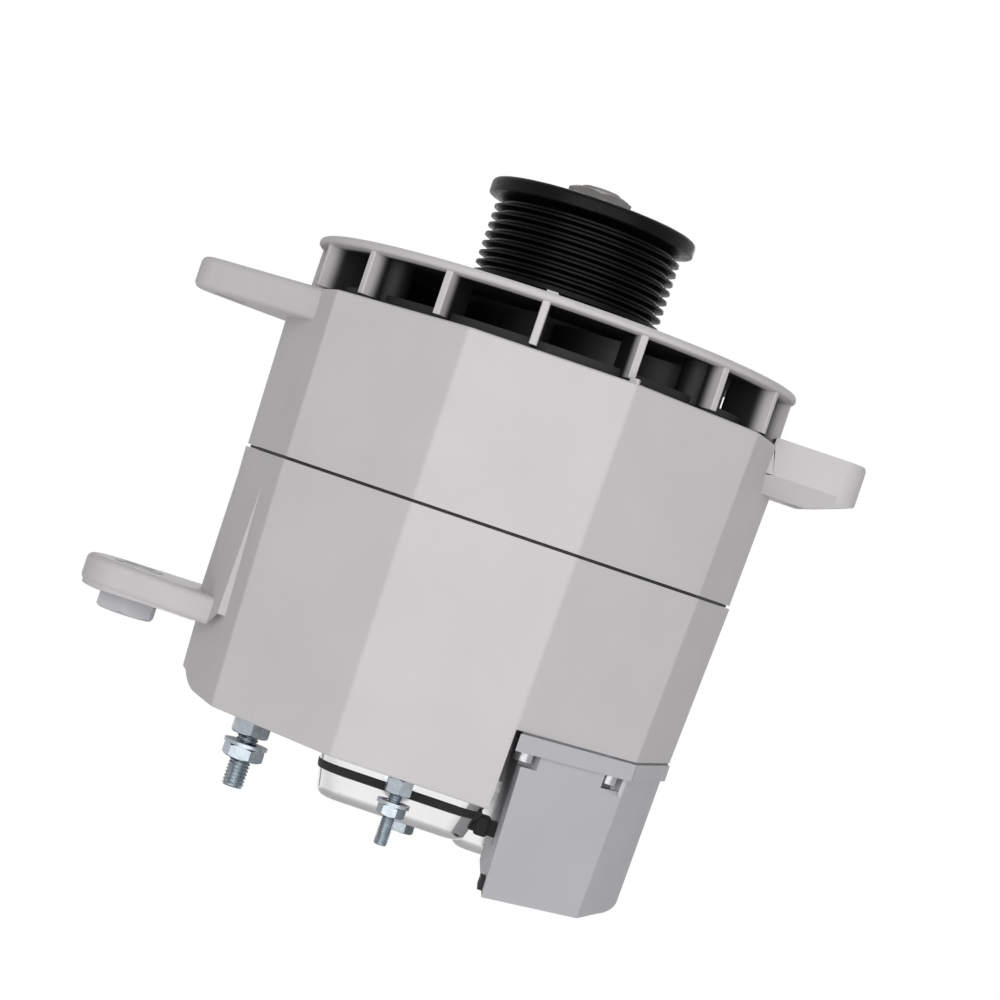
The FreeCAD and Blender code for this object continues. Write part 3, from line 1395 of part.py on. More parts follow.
def make_output_insulator():
    """Insulating bush that carries the output stud in the end wall."""
    x, y, radius = output_stud[:3]
    bore = radius + seat_clearance
    collar = ring(radius + stud_insulator_wall + stud_insulator_rim, bore, end_wall_z,
                  positive_plate_z - rectifier_plate, x, y)
    sleeve = ring(radius + stud_insulator_wall - seat_clearance, bore, rear_face_z, end_wall_z, x, y)
    return collar.fuse(sleeve)


# Every piece, written as one file each
def main():
    save("front_housing", make_front_housing())
    save("rear_housing", make_rear_housing())
    save("front_end_shield", make_front_end_shield())
    save("end_shield_screws", make_shield_screws())
    save("case_bolts", make_case_bolts())
    save("hinge_bush", make_hinge_bush())
    save("stator_core", make_stator_core())
    save("stator_windings", make_stator_windings())
    for name, bearing, z_low in (("front", front_bearing, front_bearing_z),
                                 ("rear", rear_bearing, rear_bearing_z)):
        outer_ring, inner_ring, balls, cage = make_bearing(bearing, z_low)
        save(name + "_bearing_outer_ring", outer_ring)
        save(name + "_bearing_inner_ring", inner_ring)
        save(name + "_bearing_balls", balls)
        save(name + "_bearing_cage", cage)
    save("bearing_retainer", make_retainer())
    save("retainer_screws", make_retainer_screws())
    save("rotor_shaft", make_shaft())
    save("front_pole", make_pole(True))
    save("rear_pole", make_pole(False))
    save("coil_bobbin", make_bobbin())
    save("field_coil", make_field_coil())
    save("drive_fan", make_fan())
    save("fan_spacer", ring(rotor_seat_radius + 2, front_bearing[1] + seat_clearance, seam_z + pole_face,
                            fan_hub_bottom_z))
    save("pulley_collar", ring(rotor_seat_radius - 1, pulley_seat_radius + seat_clearance, bearing_top_z,
                               pulley_hub_bottom_z))
    save("drive_pulley", make_pulley())
    save("pulley_key", key_block())
    save("pulley_washer", ring(nut_washer_radius, shaft_thread_radius + seat_clearance, nut_seat_z,
                               nut_seat_z + nut_washer_thickness))
    save("pulley_nut", nut(nut_across_flats, shaft_thread_radius, nut_top_z - nut_height, nut_top_z))
    save("slip_ring_hub", make_slip_ring_hub())
    save("slip_rings", *make_slip_rings())
    save("brush_holder", make_brush_holder())
    save("brush_holder_screws", make_holder_screws())
    upper, lower = slip_ring_levels()
    save("upper_brush", make_brush(upper))
    save("lower_brush", make_brush(lower))
    save("upper_brush_spring", make_brush_spring(upper))
    save("lower_brush_spring", make_brush_spring(lower))
    save("brush_cover", make_brush_cover())
    save("capacitor_cover", make_side_cover())
    save("cover_screws", make_cover_screws())
    save("suppressor_capacitor", make_capacitor())
    save("regulator_gasket", make_regulator_gasket())
    save("regulator_flange", make_regulator_flange())
    save("regulator_box", make_regulator_box())
    save("regulator_screws", make_regulator_screws())
    save("regulator_circuit", make_regulator_circuit())
    save("regulator_plug", make_regulator_plug())
    save("lead_grommet", make_lead_grommet())
    positive, negative = diode_places()
    stud_radius = output_stud[2]
    save("positive_plate", make_rectifier_plate(positive_plate_z, positive, [],
                                                stud_radius + seat_clearance))
    save("negative_plate", make_rectifier_plate(negative_plate_z, negative, positive,
                                                stud_radius + stud_insulator_wall + 1))
    save("rectifier_diodes", *make_diodes())
    save("rectifier_screws", make_rectifier_screws())
    save("rectifier_spacers", *make_rectifier_spacers())
    save("output_stud", make_stud(output_stud, negative_plate_z - 1))
    save("output_stud_insulator", make_output_insulator())
    save("output_stud_nuts", *make_stud_nuts(output_stud))
    save("signal_stud", make_stud(signal_stud, end_wall_z))
    save("signal_stud_nuts", *make_stud_nuts(signal_stud))
    save("terminal_washers", make_stud_washer(output_stud), make_stud_washer(signal_stud))


main()
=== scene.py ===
import json
import math

import bmesh
import bpy
from bpy.props import FloatProperty, FloatVectorProperty, IntProperty, PointerProperty
from mathutils import Matrix, Vector


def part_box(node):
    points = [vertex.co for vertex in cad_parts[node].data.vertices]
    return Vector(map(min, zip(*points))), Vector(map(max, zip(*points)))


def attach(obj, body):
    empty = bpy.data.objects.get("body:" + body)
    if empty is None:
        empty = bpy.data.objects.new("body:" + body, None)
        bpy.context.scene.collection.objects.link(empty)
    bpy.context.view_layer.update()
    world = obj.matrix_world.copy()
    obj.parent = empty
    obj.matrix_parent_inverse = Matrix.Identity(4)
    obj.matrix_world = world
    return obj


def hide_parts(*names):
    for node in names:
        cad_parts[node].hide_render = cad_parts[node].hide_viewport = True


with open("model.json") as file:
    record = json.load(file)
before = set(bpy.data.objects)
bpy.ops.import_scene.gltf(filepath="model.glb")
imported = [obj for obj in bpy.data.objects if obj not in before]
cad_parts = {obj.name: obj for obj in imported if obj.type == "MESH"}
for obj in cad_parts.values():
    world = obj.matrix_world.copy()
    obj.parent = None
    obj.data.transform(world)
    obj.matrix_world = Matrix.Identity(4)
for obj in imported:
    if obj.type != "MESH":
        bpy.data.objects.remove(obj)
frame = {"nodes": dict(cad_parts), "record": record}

bl_info = {
    "name": "Generator Alternator Head",
    "version": (1, 0, 0),
    "blender": (4, 5, 0),
    "location": "3D View > Sidebar > Alternator",
    "description": "Dresses a belt-driven generator alternator head and sets it in a plain studio",
    "category": "Object",
}

MM = 0.001


def ramp(value, start, end):
    """How far a value is on its way from start to end, from 0 to 1."""
    return min(max((value - start) / (end - start), 0.0), 1.0)


def linear(sheet_colour):
    """Linear red, green and blue of an sRGB colour written as six hexadecimal digits."""
    channels = [int(sheet_colour[k:k + 2], 16) / 255 for k in (0, 2, 4)]
    return tuple(c / 12.92 if c <= 0.04045 else ((c + 0.055) / 1.055) ** 2.4 for c in channels)


def colour_property(name, description, sheet_colour):
    return FloatVectorProperty(name=name, description=description, default=linear(sheet_colour),
                               subtype="COLOR", size=3, min=0.0, max=1.0)


def length_property(name, description, millimetres):
    return FloatProperty(name=name, description=description, default=millimetres * MM, min=0.0,
                         subtype="DISTANCE", unit="LENGTH", precision=5)


class AlternatorColours(bpy.types.PropertyGroup):
    casting: colour_property("Casting", "Blasted aluminium of the housings and the end shield", "D0CDCE")
    box: colour_property("Regulator box", "Die-cast box and its flange, a little bluer", "C6C6CA")
    bright_sheet: colour_property("Bright covers", "Polished pressed sheet", "EFEFEF")
    zinc: colour_property("Zinc plate", "Blue-bright zinc of screws, nuts and studs", "A9B2B8")
    steel: colour_property("Ground steel", "Bearings and shaft", "A8A6A2")
    lamination: colour_property("Laminations", "Varnished core steel", "3A3A3C")
    copper: colour_property("Copper", "Enamelled winding wire", "9A4A22")
    paint: colour_property("Black coat", "Electrocoat of the pulley", "050505")
    fan: colour_property("Fan", "Coated sheet of the inner fan", "1C1C1E")
    plastic: colour_property("Black plastic", "Moulded insulators and plug", "151516")
    cage: colour_property("Cage polymer", "Polyamide bearing cages and bobbin", "CFC6A6")
    carbon: colour_property("Carbon", "Pressed carbon of the brushes", "26262A")
    rubber: colour_property("Rubber", "Gasket and lead grommet", "141414")
    plate: colour_property("Plate aluminium", "Rolled plate of the rectifier", "BDBDBD")
    diode: colour_property("Diode cans", "Nickel-plated copper cans", "B8AC98")
    # Seam bead: a dark colour that paints the shade in the groove between the castings
    painted_seam_shade: colour_property("Seam shade", "Cured bead in the seam of the castings", "33302F")
    gasket: colour_property("Gasket", "Pressed fibre under the regulator's flange", "77787C")
    dull_steel: colour_property("Dull steel", "Phosphated pulley nut and shaft end", "747371")
    box_screws: colour_property("Regulator screws", "Dull zinc of the screws in the box's pockets", "A6A7AA")


class AlternatorSizes(bpy.types.PropertyGroup):
    output_pitch: length_property("Output stud pitch", "Thread pitch of the large stud", 1.25)
    signal_pitch: length_property("Signal stud pitch", "Thread pitch of the small stud", 0.8)
    grain: length_property("Casting grain", "Grain of the blasted casting skin", 0.45)
    corner: length_property("Casting corners", "Radius of the castings' upright corners", 3.0)
    # How deep the dark bead that paints the seam's shade lies below the castings' skin
    seam_shade_depth: length_property("Seam shade bead", "How far the sealant lies below the castings' skin", 1.1)
    # Height of the dark band on the brush cover's wall, whose colour paints the dark reflection and shade at
    # the cover's bead
    band_height: length_property("Cover dark band", "Height of the rubber band round the brush cover", 3.2)
    turning: length_property("Turning marks", "Spacing of the lathe marks on turned faces", 0.35)
    facets: IntProperty(name="Thread facets", description="Sides of each thread's round",
                        default=48, min=12, max=128)


class AlternatorStage(bpy.types.PropertyGroup):
    distance: length_property("Camera distance", "From the shaft axis to the camera", 946.0)
    focal: FloatProperty(name="Focal length", description="In millimetres, on a 36 mm sensor",
                         default=92.4, min=10.0, max=300.0)
    roll: FloatProperty(name="Camera roll", description="Turn of the camera, so that the pulley leans right",
                        default=math.radians(18.7), subtype="ANGLE", unit="ROTATION")
    floor_drop: length_property("Floor drop", "Of the floor below the belt plane", 700.0)


# Node building

def add_node(tree, kind, settings=(), links=()):
    """Adds a node, sets its attributes and input values by name, and links its inputs."""
    node = tree.nodes.new(kind)
    for key, value in dict(settings).items():
        if isinstance(key, str) and hasattr(node, key):
            setattr(node, key, value)
        else:
            node.inputs[key].default_value = value
    for key, socket in dict(links).items():
        tree.links.new(socket, node.inputs[key])
    return node


def new_material(name, colour, metallic, roughness, **sockets):
    """A material with the uniform values of its shader; patterns are linked in by its maker."""
    material = bpy.data.materials.new(name)
    material.use_nodes = True
    shader = material.node_tree.nodes["Principled BSDF"]
    values = {"Base Color": (*colour, 1.0), "Metallic": metallic, "Roughness": roughness}
    values.update({key.replace("_", " "): value for key, value in sockets.items()})
    for key, value in values.items():
        shader.inputs[key].default_value = value
    material.diffuse_color = (*colour, 1.0)
    return material, material.node_tree, shader


def noise_at(tree, size, detail=2.0, stretch=(1.0, 1.0, 1.0)):
    """Noise of a real size in metres on the piece's own coordinates, stretched along an axis if asked."""
    place = add_node(tree, "ShaderNodeTexCoord")
    mapping = add_node(tree, "ShaderNodeMapping", {"Scale": stretch}, {"Vector": place.outputs["Object"]})
    return add_node(tree, "ShaderNodeTexNoise", {"Scale": 1.0 / size, "Detail": detail},
                    {"Vector": mapping.outputs["Vector"]}).outputs["Fac"]


def spread(tree, value, low, high):
    """Maps noise, which lies about 0.3 to 0.7, onto low to high."""
    return add_node(tree, "ShaderNodeMapRange",
                    {"From Min": 0.3, "From Max": 0.7, "To Min": low, "To Max": high},
                    {"Value": value}).outputs["Result"]


def shaded_by(tree, shader, colour, value, low, high):
    """Multiplies the base colour by a grey that varies from low to high with value."""
    grey = spread(tree, value, low, high)
    mix = add_node(tree, "ShaderNodeMix", {"data_type": "RGBA", "blend_type": "MULTIPLY", 0: 1.0,
                                           6: (*colour, 1.0)}, {7: grey})
    tree.links.new(mix.outputs[2], shader.inputs["Base Color"])
    return mix.outputs[2]


# Air windows of the front castings: radii between which shade is painted into their colour inwards, their
# top, and the colour of that painted shade
WINDOW_RADII = (83.5 * MM, 89.6 * MM)
WINDOW_TOP = -24.8 * MM
PAINTED_WINDOW_SHADE = linear("121211")


def painted_window_shade(tree, shader, colour):
    """Paints shade into the colour inside the air windows, where the real casting lies in deep shade, and
    takes the metal's shine out there.
    """
    place = add_node(tree, "ShaderNodeTexCoord").outputs["Object"]
    flat = add_node(tree, "ShaderNodeVectorMath", {"operation": "MULTIPLY", 1: (1.0, 1.0, 0.0)}, {0: place})
    radius = add_node(tree, "ShaderNodeVectorMath", {"operation": "LENGTH"}, {0: flat.outputs["Vector"]})
    inner, outer = WINDOW_RADII
    deep = add_node(tree, "ShaderNodeMapRange", {"interpolation_type": "SMOOTHERSTEP", "From Min": inner,
                                                 "From Max": outer, "To Min": 1.0, "To Max": 0.0},
                    {"Value": radius.outputs["Value"]})
    height = add_node(tree, "ShaderNodeSeparateXYZ", {}, {0: place})
    low = add_node(tree, "ShaderNodeMath", {"operation": "LESS_THAN", 1: WINDOW_TOP},
                   {0: height.outputs["Z"]})
    share = add_node(tree, "ShaderNodeMath", {"operation": "MULTIPLY"},
                     {0: deep.outputs["Result"], 1: low.outputs["Value"]})
    mix = add_node(tree, "ShaderNodeMix", {"data_type": "RGBA", 7: (*PAINTED_WINDOW_SHADE, 1.0)},
                   {0: share.outputs["Value"], 6: colour})
    tree.links.new(mix.outputs[2], shader.inputs["Base Color"])
    shine = add_node(tree, "ShaderNodeMapRange", {"To Min": CASTING_METAL, "To Max": 0.0},
                     {"Value": share.outputs["Value"]})
    tree.links.new(shine.outputs["Result"], shader.inputs["Metallic"])


def relief(tree, shader, height, distance, strength=1.0):
    """Bump of a real depth in metres."""
    bump = add_node(tree, "ShaderNodeBump", {"Strength": strength, "Distance": distance}, {"Height": height})
    tree.links.new(bump.outputs["Normal"], shader.inputs["Normal"])
    return bump


# Finishes, each named for what it is

CASTING_METAL = 0.08


def blasted_aluminium(name, colour, grain, painted_shade=False):
    """Die-cast aluminium, shot-blasted and lacquered: fine even grain, soft highlights, faint clouds, and
    painted shade inside the air windows when asked.
    """
    material, tree, shader = new_material(name, colour, CASTING_METAL, 0.55, Specular_IOR_Level=0.35)
    cloud = noise_at(tree, 30 * MM, 3.0)
    skin = shaded_by(tree, shader, colour, cloud, 0.975, 1.02)
    if painted_shade:
        painted_window_shade(tree, shader, skin)
    fine = noise_at(tree, grain, 1.5)
    tree.links.new(spread(tree, fine, 0.54, 0.68), shader.inputs["Roughness"])
    relief(tree, shader, fine, 0.02 * MM, 0.5)
    return material


def polished_sheet(name, colour):
    """Bright stainless sheet: mirror-like, with long faint drawing marks."""
    material, tree, shader = new_material(name, colour, 1.0, 0.14)
    marks = noise_at(tree, 0.8 * MM, 2.0, (0.05, 1.0, 1.0))
    tree.links.new(spread(tree, marks, 0.09, 0.2), shader.inputs["Roughness"])
    shaded_by(tree, shader, colour, noise_at(tree, 12 * MM), 0.94, 1.0)
    return material


def blue_zinc(name, colour):
    """Blue-bright zinc plate on steel: cool, slightly uneven, with worn darker patches."""
    material, tree, shader = new_material(name, colour, 1.0, 0.32)
    patch = noise_at(tree, 2.5 * MM, 3.0)
    shaded_by(tree, shader, colour, patch, 0.8, 1.02)
    tree.links.new(spread(tree, noise_at(tree, 0.6 * MM), 0.24, 0.42), shader.inputs["Roughness"])
    return material


def ground_steel(name, colour, turning):
    """Ground bearing steel: bright, with rings left by the wheel."""
    material, tree, shader = new_material(name, colour, 1.0, 0.22)
    rings = noise_at(tree, turning, 1.0, (0.15, 0.15, 1.0))
    tree.links.new(spread(tree, rings, 0.15, 0.32), shader.inputs["Roughness"])
    relief(tree, shader, rings, 0.004 * MM, 0.4)
    return material


def varnished_laminations(name, colour):
    """Stacked 0.5 mm core sheets under varnish, drawn 1 mm apart so that they show as fine edges."""
    material, tree, shader = new_material(name, colour, 0.6, 0.45)
    place = add_node(tree, "ShaderNodeTexCoord")
    sheets = add_node(tree, "ShaderNodeTexWave", {"bands_direction": "Z", "Scale": 0.314 / (1.0 * MM)},
                      {"Vector": place.outputs["Object"]})
    shaded_by(tree, shader, colour, sheets.outputs["Fac"], 0.7, 1.1)
    relief(tree, shader, sheets.outputs["Fac"], 0.05 * MM, 0.5)
    return material


def enamelled_copper(name, colour):
    """Copper wire in clear enamel: deep orange-brown with a glassy coat."""
    material, tree, shader = new_material(name, colour, 0.9, 0.35, Coat_Weight=0.5, Coat_Roughness=0.15)
    wires = noise_at(tree, 1.6 * MM, 1.0, (1.0, 1.0, 0.5))
    shaded_by(tree, shader, colour, wires, 0.55, 1.15)
    relief(tree, shader, wires, 0.25 * MM, 0.6)
    return material


def black_electrocoat(name, colour, turning):
    """Black electrocoat over turned steel: deep black, with the lathe marks just showing through."""
    material, tree, shader = new_material(name, colour, 0.0, 0.34, Specular_IOR_Level=0.09)
    rings = noise_at(tree, turning, 1.0, (0.1, 0.1, 1.0))
    tree.links.new(spread(tree, rings, 0.27, 0.42), shader.inputs["Roughness"])
    relief(tree, shader, rings, 0.008 * MM, 0.4)
    shaded_by(tree, shader, colour, noise_at(tree, 9 * MM), 0.8, 1.25)
    return material


def moulded_plastic(name, colour, roughness=0.55):
    """Moulded glass-filled plastic: dull, with a fine spark-eroded grain."""
    material, tree, shader = new_material(name, colour, 0.0, roughness)
    grain = noise_at(tree, 0.5 * MM)
    relief(tree, shader, grain, 0.03 * MM, 0.5)
    shaded_by(tree, shader, colour, noise_at(tree, 6 * MM), 0.85, 1.15)
    return material


def moulded_rubber(name, colour):
    """Moulded rubber: nearly matt, with a dusty bloom."""
    material, tree, shader = new_material(name, colour, 0.0, 0.75, Sheen_Weight=0.15)
    shaded_by(tree, shader, colour, noise_at(tree, 3 * MM, 4.0), 0.8, 1.4)
    return material


def pressed_carbon(name, colour):
    """Pressed carbon: dark grey and faintly metallic, with coarse grains."""
    material, tree, shader = new_material(name, colour, 0.3, 0.5)
    grains = noise_at(tree, 0.7 * MM, 3.0)
    shaded_by(tree, shader, colour, grains, 0.7, 1.3)
    relief(tree, shader, grains, 0.03 * MM, 0.5)
    return material


def rolled_plate(name, colour):
    """Mill-finished plate: straight rolling marks and a soft sheen."""
    material, tree, shader = new_material(name, colour, 0.9, 0.4)
    marks = noise_at(tree, 0.8 * MM, 2.0, (0.03, 1.0, 1.0))
    tree.links.new(spread(tree, marks, 0.3, 0.5), shader.inputs["Roughness"])
    shaded_by(tree, shader, colour, marks, 0.93, 1.03)
    return material


def make_finishes(colours, sizes):
    """Every finish, by the record's material slot."""
    return {
        "cast_aluminium": blasted_aluminium("blasted_aluminium", colours.casting, sizes.grain),
        # The front castings get painted shade inside their air windows
        "front_castings": blasted_aluminium("blasted_aluminium_painted_shade", colours.casting, sizes.grain, True),
        "box_casting": blasted_aluminium("blasted_box_casting", colours.box, sizes.grain),
        "polished_steel": polished_sheet("polished_sheet", colours.bright_sheet),
        "zinc_steel": blue_zinc("blue_zinc", colours.zinc),
        "laminations": varnished_laminations("varnished_laminations", colours.lamination),
        "copper_wire": enamelled_copper("enamelled_copper", colours.copper),
        "bearing_steel": ground_steel("ground_steel", colours.steel, sizes.turning),
        "cage_polymer": moulded_plastic("cage_polymer", colours.cage, 0.45),
        "black_paint": black_electrocoat("black_electrocoat", colours.paint, sizes.turning),
        "fan_sheet": moulded_plastic("coated_fan_sheet", colours.fan, 0.5),
        "black_plastic": moulded_plastic("black_plastic", colours.plastic),
        "carbon": pressed_carbon("pressed_carbon", colours.carbon),
        "rubber": moulded_rubber("moulded_rubber", colours.rubber),
        # Dark seam bead: painted shade of the groove between the castings
        "painted_seam_shade": moulded_rubber("painted_seam_shade_rubber", colours.painted_seam_shade),
        "gasket": moulded_rubber("pressed_fibre_gasket", colours.gasket),
        "dull_steel": blue_zinc("phosphated_steel", colours.dull_steel),
        "box_screws": blue_zinc("dull_zinc", colours.box_screws),
        "plate_aluminium": rolled_plate("rolled_plate", colours.plate),
        "diode_case": blue_zinc("nickel_plate", colours.diode),
    }


finishes = {}
slot_of = {part["node"]: part["material_slot"] for part in frame["record"]["subparts"]}
finish_of = dict(slot_of, front_end_shield="front_castings", front_housing="front_castings",
                 pulley_nut="dull_steel", pulley_washer="dull_steel", rotor_shaft="dull_steel",
                 regulator_screws="box_screws", regulator_gasket="gasket", hinge_bush="box_casting")


# Copies of the model's pieces, and pieces of the scene's own

def merged(node):
    """Mesh being edited that starts as one closed copy of a node of the model."""
    shape = bmesh.new()
    shape.from_mesh(frame["nodes"][node].data)
    bmesh.ops.remove_doubles(shape, verts=shape.verts, dist=0.001 * MM)
    return shape


def finished(shape, name, finish, sharp=30.0):
    """Object of an edited mesh, smooth except at its real edges, with each flat kept flat."""
    shape.normal_update()
    for face in shape.faces:
        face.smooth = True
    for edge in shape.edges:
        edge.smooth = len(edge.link_faces) == 2 and edge.calc_face_angle() < math.radians(sharp)
    mesh = bpy.data.meshes.new(name)
    shape.to_mesh(mesh)
    shape.free()
    piece = bpy.data.objects.new(name, mesh)
    bpy.context.scene.collection.objects.link(piece)
    weighting = piece.modifiers.new("flats", "WEIGHTED_NORMAL")
    weighting.keep_sharp = True
    return made_plain(piece, name, finish)


def made_plain(piece, name, finish):
    """Turns what a piece's modifiers make into its plain mesh, and takes them off."""
    evaluated = piece.evaluated_get(bpy.context.evaluated_depsgraph_get())
    mesh = bpy.data.meshes.new_from_object(evaluated)
    piece.modifiers.clear()
    piece.data = mesh
    mesh.name = name
    mesh.materials.clear()
    mesh.materials.append(finishes[finish])
    return piece


def stands_for(piece, body, *nodes):
    """Sets a piece on its body in place of nodes of the model, and hides those nodes."""
    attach(piece, body)
    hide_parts(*nodes)


# Ten-sided castings. Lengths that redraw a point by point are in millimetres, the others in metres

FACETS = 10
FACET = 2 * math.pi / FACETS
FIRST_CORNER = math.radians(19.4)
CORNER_TO_FLAT = math.cos(FACET / 2)
SEAM_Z = -102.0 * MM
DECK_Z = -41.0 * MM
REAR_FACE_Z = -192.0 * MM
# From the shaft axis to the flats of the front and the rear casting, at both ends of each
SEAM_FLAT, DECK_FLAT = 89.7 * MM, 91.5 * MM
REAR_SEAM_FLAT, REAR_FACE_FLAT = 90.1 * MM, 86.1 * MM
# The model's corners, how deep their redrawing reaches, and the rounded foot of the rear casting
MODEL_CORNER = 18.0 * MM
CORNER_DEPTH = 2.5 * MM
FOOT_ROUND = 10.5 * MM
FOOT_HEIGHT = 12.0 * MM
# How far the skin is scaled, how deep it reaches, and the lengths over which the scaling fades out
SLIMMING = 0.9945
SKIN, SKIN_FADE = 3.0 * MM, 1.5 * MM
FOOT_FADE = 6.0 * MM
LUG_FADE = (104.0 * MM, 97.0 * MM)


def front_corner(z):
    """Corner radius of the front casting, which flares towards the pulley."""
    return (SEAM_FLAT + (DECK_FLAT - SEAM_FLAT) * ramp(z, SEAM_Z, DECK_Z)) / CORNER_TO_FLAT


def rear_corner(z):
    """Corner radius of the rear casting, which tapers towards its closed end."""
    share = ramp(z, SEAM_Z, REAR_FACE_Z)
    return (REAR_SEAM_FLAT + (REAR_FACE_FLAT - REAR_SEAM_FLAT) * share) / CORNER_TO_FLAT


def rear_corner_depth(z):
    """How deep the corners' redrawing reaches: further where the casting's foot is rounded."""
    share = ramp(z, REAR_FACE_Z + FOOT_HEIGHT, REAR_FACE_Z)
    return CORNER_DEPTH + (FOOT_ROUND - CORNER_DEPTH) * share


def deeper_foot(top, depth):
    """How deep the skin reaches at a height: all of the rounded foot below a height belongs to it."""
    return lambda z: SKIN + depth * ramp(z, top, top - FOOT_FADE)


def above_skin(x, y, corner_radius):
    """How far a point stands out of a ten-sided outline."""
    flats = [FIRST_CORNER + FACET * (k + 0.5) for k in range(FACETS)]
    return max(x * math.sin(turn) - y * math.cos(turn) for turn in flats) - corner_radius * CORNER_TO_FLAT


def slimmer(shape, radius_at, share, skin_at):
    """Scales the skin of a ten-sided piece, fading out along the lugs and inside the wall."""
    for vertex in shape.verts:
        x, y, z = vertex.co
        skin = skin_at(z)
        inner = ramp(-above_skin(x, y, radius_at(z)), skin, skin - SKIN_FADE)
        scale = 1.0 - (1.0 - share) * inner * ramp(abs(x), *LUG_FADE)
        vertex.co.x, vertex.co.y = x * scale, y * scale


# How far past its arc's ends and how far above it a corner's skin reaches, and the depth down to which
# a point moves by the full amount
LEAN_SLACK = 0.02
PROUD_SLACK = -0.4 * MM
DEPTH_SLACK = 0.15 * MM


def sharper(shape, radius_at, modelled, rounding, depth_at):
    """Draws the rounded upright corners out to a smaller radius, and leaves the flats where they are."""
    for vertex in shape.verts:
        x, y, z = vertex.co
        turn = math.atan2(x, -y)
        corner = FIRST_CORNER + FACET * round((turn - FIRST_CORNER) / FACET)
        reach = math.hypot(x, y)
        out, along = reach * math.cos(turn - corner), reach * math.sin(turn - corner)
        centre = radius_at(z) - modelled / CORNER_TO_FLAT
        lean = math.atan2(along, out - centre)
        depth = modelled - math.hypot(out - centre, along)
        limit = depth_at(z)
        if out <= centre or abs(lean) > FACET / 2 + LEAN_SLACK or not PROUD_SLACK < depth < limit:
            continue
        shift = (modelled - rounding) * (1.0 - max(depth - DEPTH_SLACK, 0.0) / limit)
        out += shift * (1 / CORNER_TO_FLAT - math.cos(lean))
        along -= shift * math.sin(lean)
        reach, turn = math.hypot(out, along), corner + math.atan2(along, out)
        vertex.co.x, vertex.co.y = reach * math.sin(turn), -reach * math.cos(turn)


def redrawn(shape, rule):
    """Moves every point by a rule that takes and gives millimetres."""
    for vertex in shape.verts:
        vertex.co = Vector(rule(*(vertex.co / MM))) * MM


# The adjuster lug: its underside, half width, rise and belly, and the step at its root
LUG_UNDERSIDE, LUG_BODY = -52.8, 86
LUG_HALF, LUG_RISE, LUG_EDGE = 20.4, 1.2, 3.2
LUG_END, LUG_SHORTENING = (113, 119), 1.7
BELLY_LIMIT, BELLY_DEPTH, BELLY_TAPER = 7.0, 6.2, 0.25
BELLY_ROOT, BELLY_SINK, BELLY_SLACK = 96.5, 7.0, 0.1
STEP_X, STEP_RADIUS, STEP_SIDE = 94.5, 91.8, 19.0
STEP_START, STEP_WALL, STEP_END = STEP_X - 2.1, STEP_X - 1, STEP_X + 0.5
DECK_LEVEL, DECK_SLACK = DECK_Z / MM, 0.05
LUG_SPLIT = (91 * MM, -52.78 * MM)


def adjuster_lug(x, y, z):
    """The lug stands higher and ends sooner; its belly narrows downwards and grows out of the body."""
    if x < LUG_BODY or abs(y) > LUG_HALF or z < LUG_UNDERSIDE - BELLY_LIMIT:
        return x, y, z
    x -= LUG_SHORTENING * ramp(x, *LUG_END)
    if z < LUG_UNDERSIDE - BELLY_SLACK:
        proud = above_skin(x * MM, y * MM, front_corner(z * MM) * SLIMMING)
        if x < BELLY_ROOT and proud > BELLY_SLACK * MM:
            x -= BELLY_SINK
        y *= 1 - BELLY_TAPER * ramp(z, LUG_UNDERSIDE, LUG_UNDERSIDE - BELLY_DEPTH)
    elif z < LUG_UNDERSIDE + LUG_EDGE:
        z += LUG_RISE
    elif z > DECK_LEVEL - DECK_SLACK:
        step_foot = z < DECK_LEVEL + DECK_SLACK
        if STEP_START < x < STEP_END and (x > STEP_WALL or abs(y) > STEP_SIDE or not step_foot):
            x -= STEP_X - math.sqrt(STEP_RADIUS ** 2 - y ** 2)
        z += 0.0 if step_foot else LUG_RISE
    return x, y, z


# The rear lug: its half width, its level, and how far the pad's end and the lug's edge move
REAR_LUG_HALF = 20.3
REAR_LUG_LEVEL, REAR_LUG_SLACK, REAR_LUG_X = -168.0, 0.45, -55
PAD_RISE, REAR_LUG_DROP = 6.1, -1.2


def rear_lug(x, y, z):
    """The lug is a little thicker, and the pad above it ends short of the lug's underside."""
    if abs(z - REAR_LUG_LEVEL) > REAR_LUG_SLACK or x > REAR_LUG_X:
        return x, y, z
    return x, y, z + (PAD_RISE if abs(y) > REAR_LUG_HALF else REAR_LUG_DROP)


def split_at_belly(shape):
    """Cuts the adjuster lug's faces just above its underside, so that the belly has an edge of its own."""
    start, height = LUG_SPLIT
    lug = [face for face in shape.faces if min(vertex.co.x for vertex in face.verts) > start]
    around = {part for face in lug for part in (*face.verts, *face.edges, face)}
    bmesh.ops.bisect_plane(shape, geom=list(around), plane_co=(0, 0, height), plane_no=(0, 0, 1))


# Depth and height of each corner of the section of the dark seam bead, which paints the shade in the groove
# between the castings, in millimetres
SEAM_SHADE_SECTION = ((0.25, -0.5), (0.0, -0.25), (0.0, 0.25), (0.25, 0.5), (1.4, 0.5), (1.4, -0.5))

# Each casting with its corner radius, the depths of its corners and its skin, and the rule of its lug
CASTINGS = (
    ("front_housing", front_corner, lambda z: CORNER_DEPTH, lambda z: SKIN, adjuster_lug),
    ("rear_housing", rear_corner, rear_corner_depth, deeper_foot(-182 * MM, 11 * MM), rear_lug),
)


def ten_sided_ring(radius, rounding, arc_steps=6):
    """Points round a ten-sided outline with rounded corners."""
    points = []
    centre = radius - rounding / CORNER_TO_FLAT
    for k in range(FACETS):
        corner = FIRST_CORNER + FACET * k
        for step in range(arc_steps + 1):
            lean = FACET * (step / arc_steps - 0.5)
            out, along = centre + rounding * math.cos(lean), rounding * math.sin(lean)
            x = out * math.sin(corner) + along * math.cos(corner)
            y = -out * math.cos(corner) + along * math.sin(corner)
            points.append((x, y))
    return points


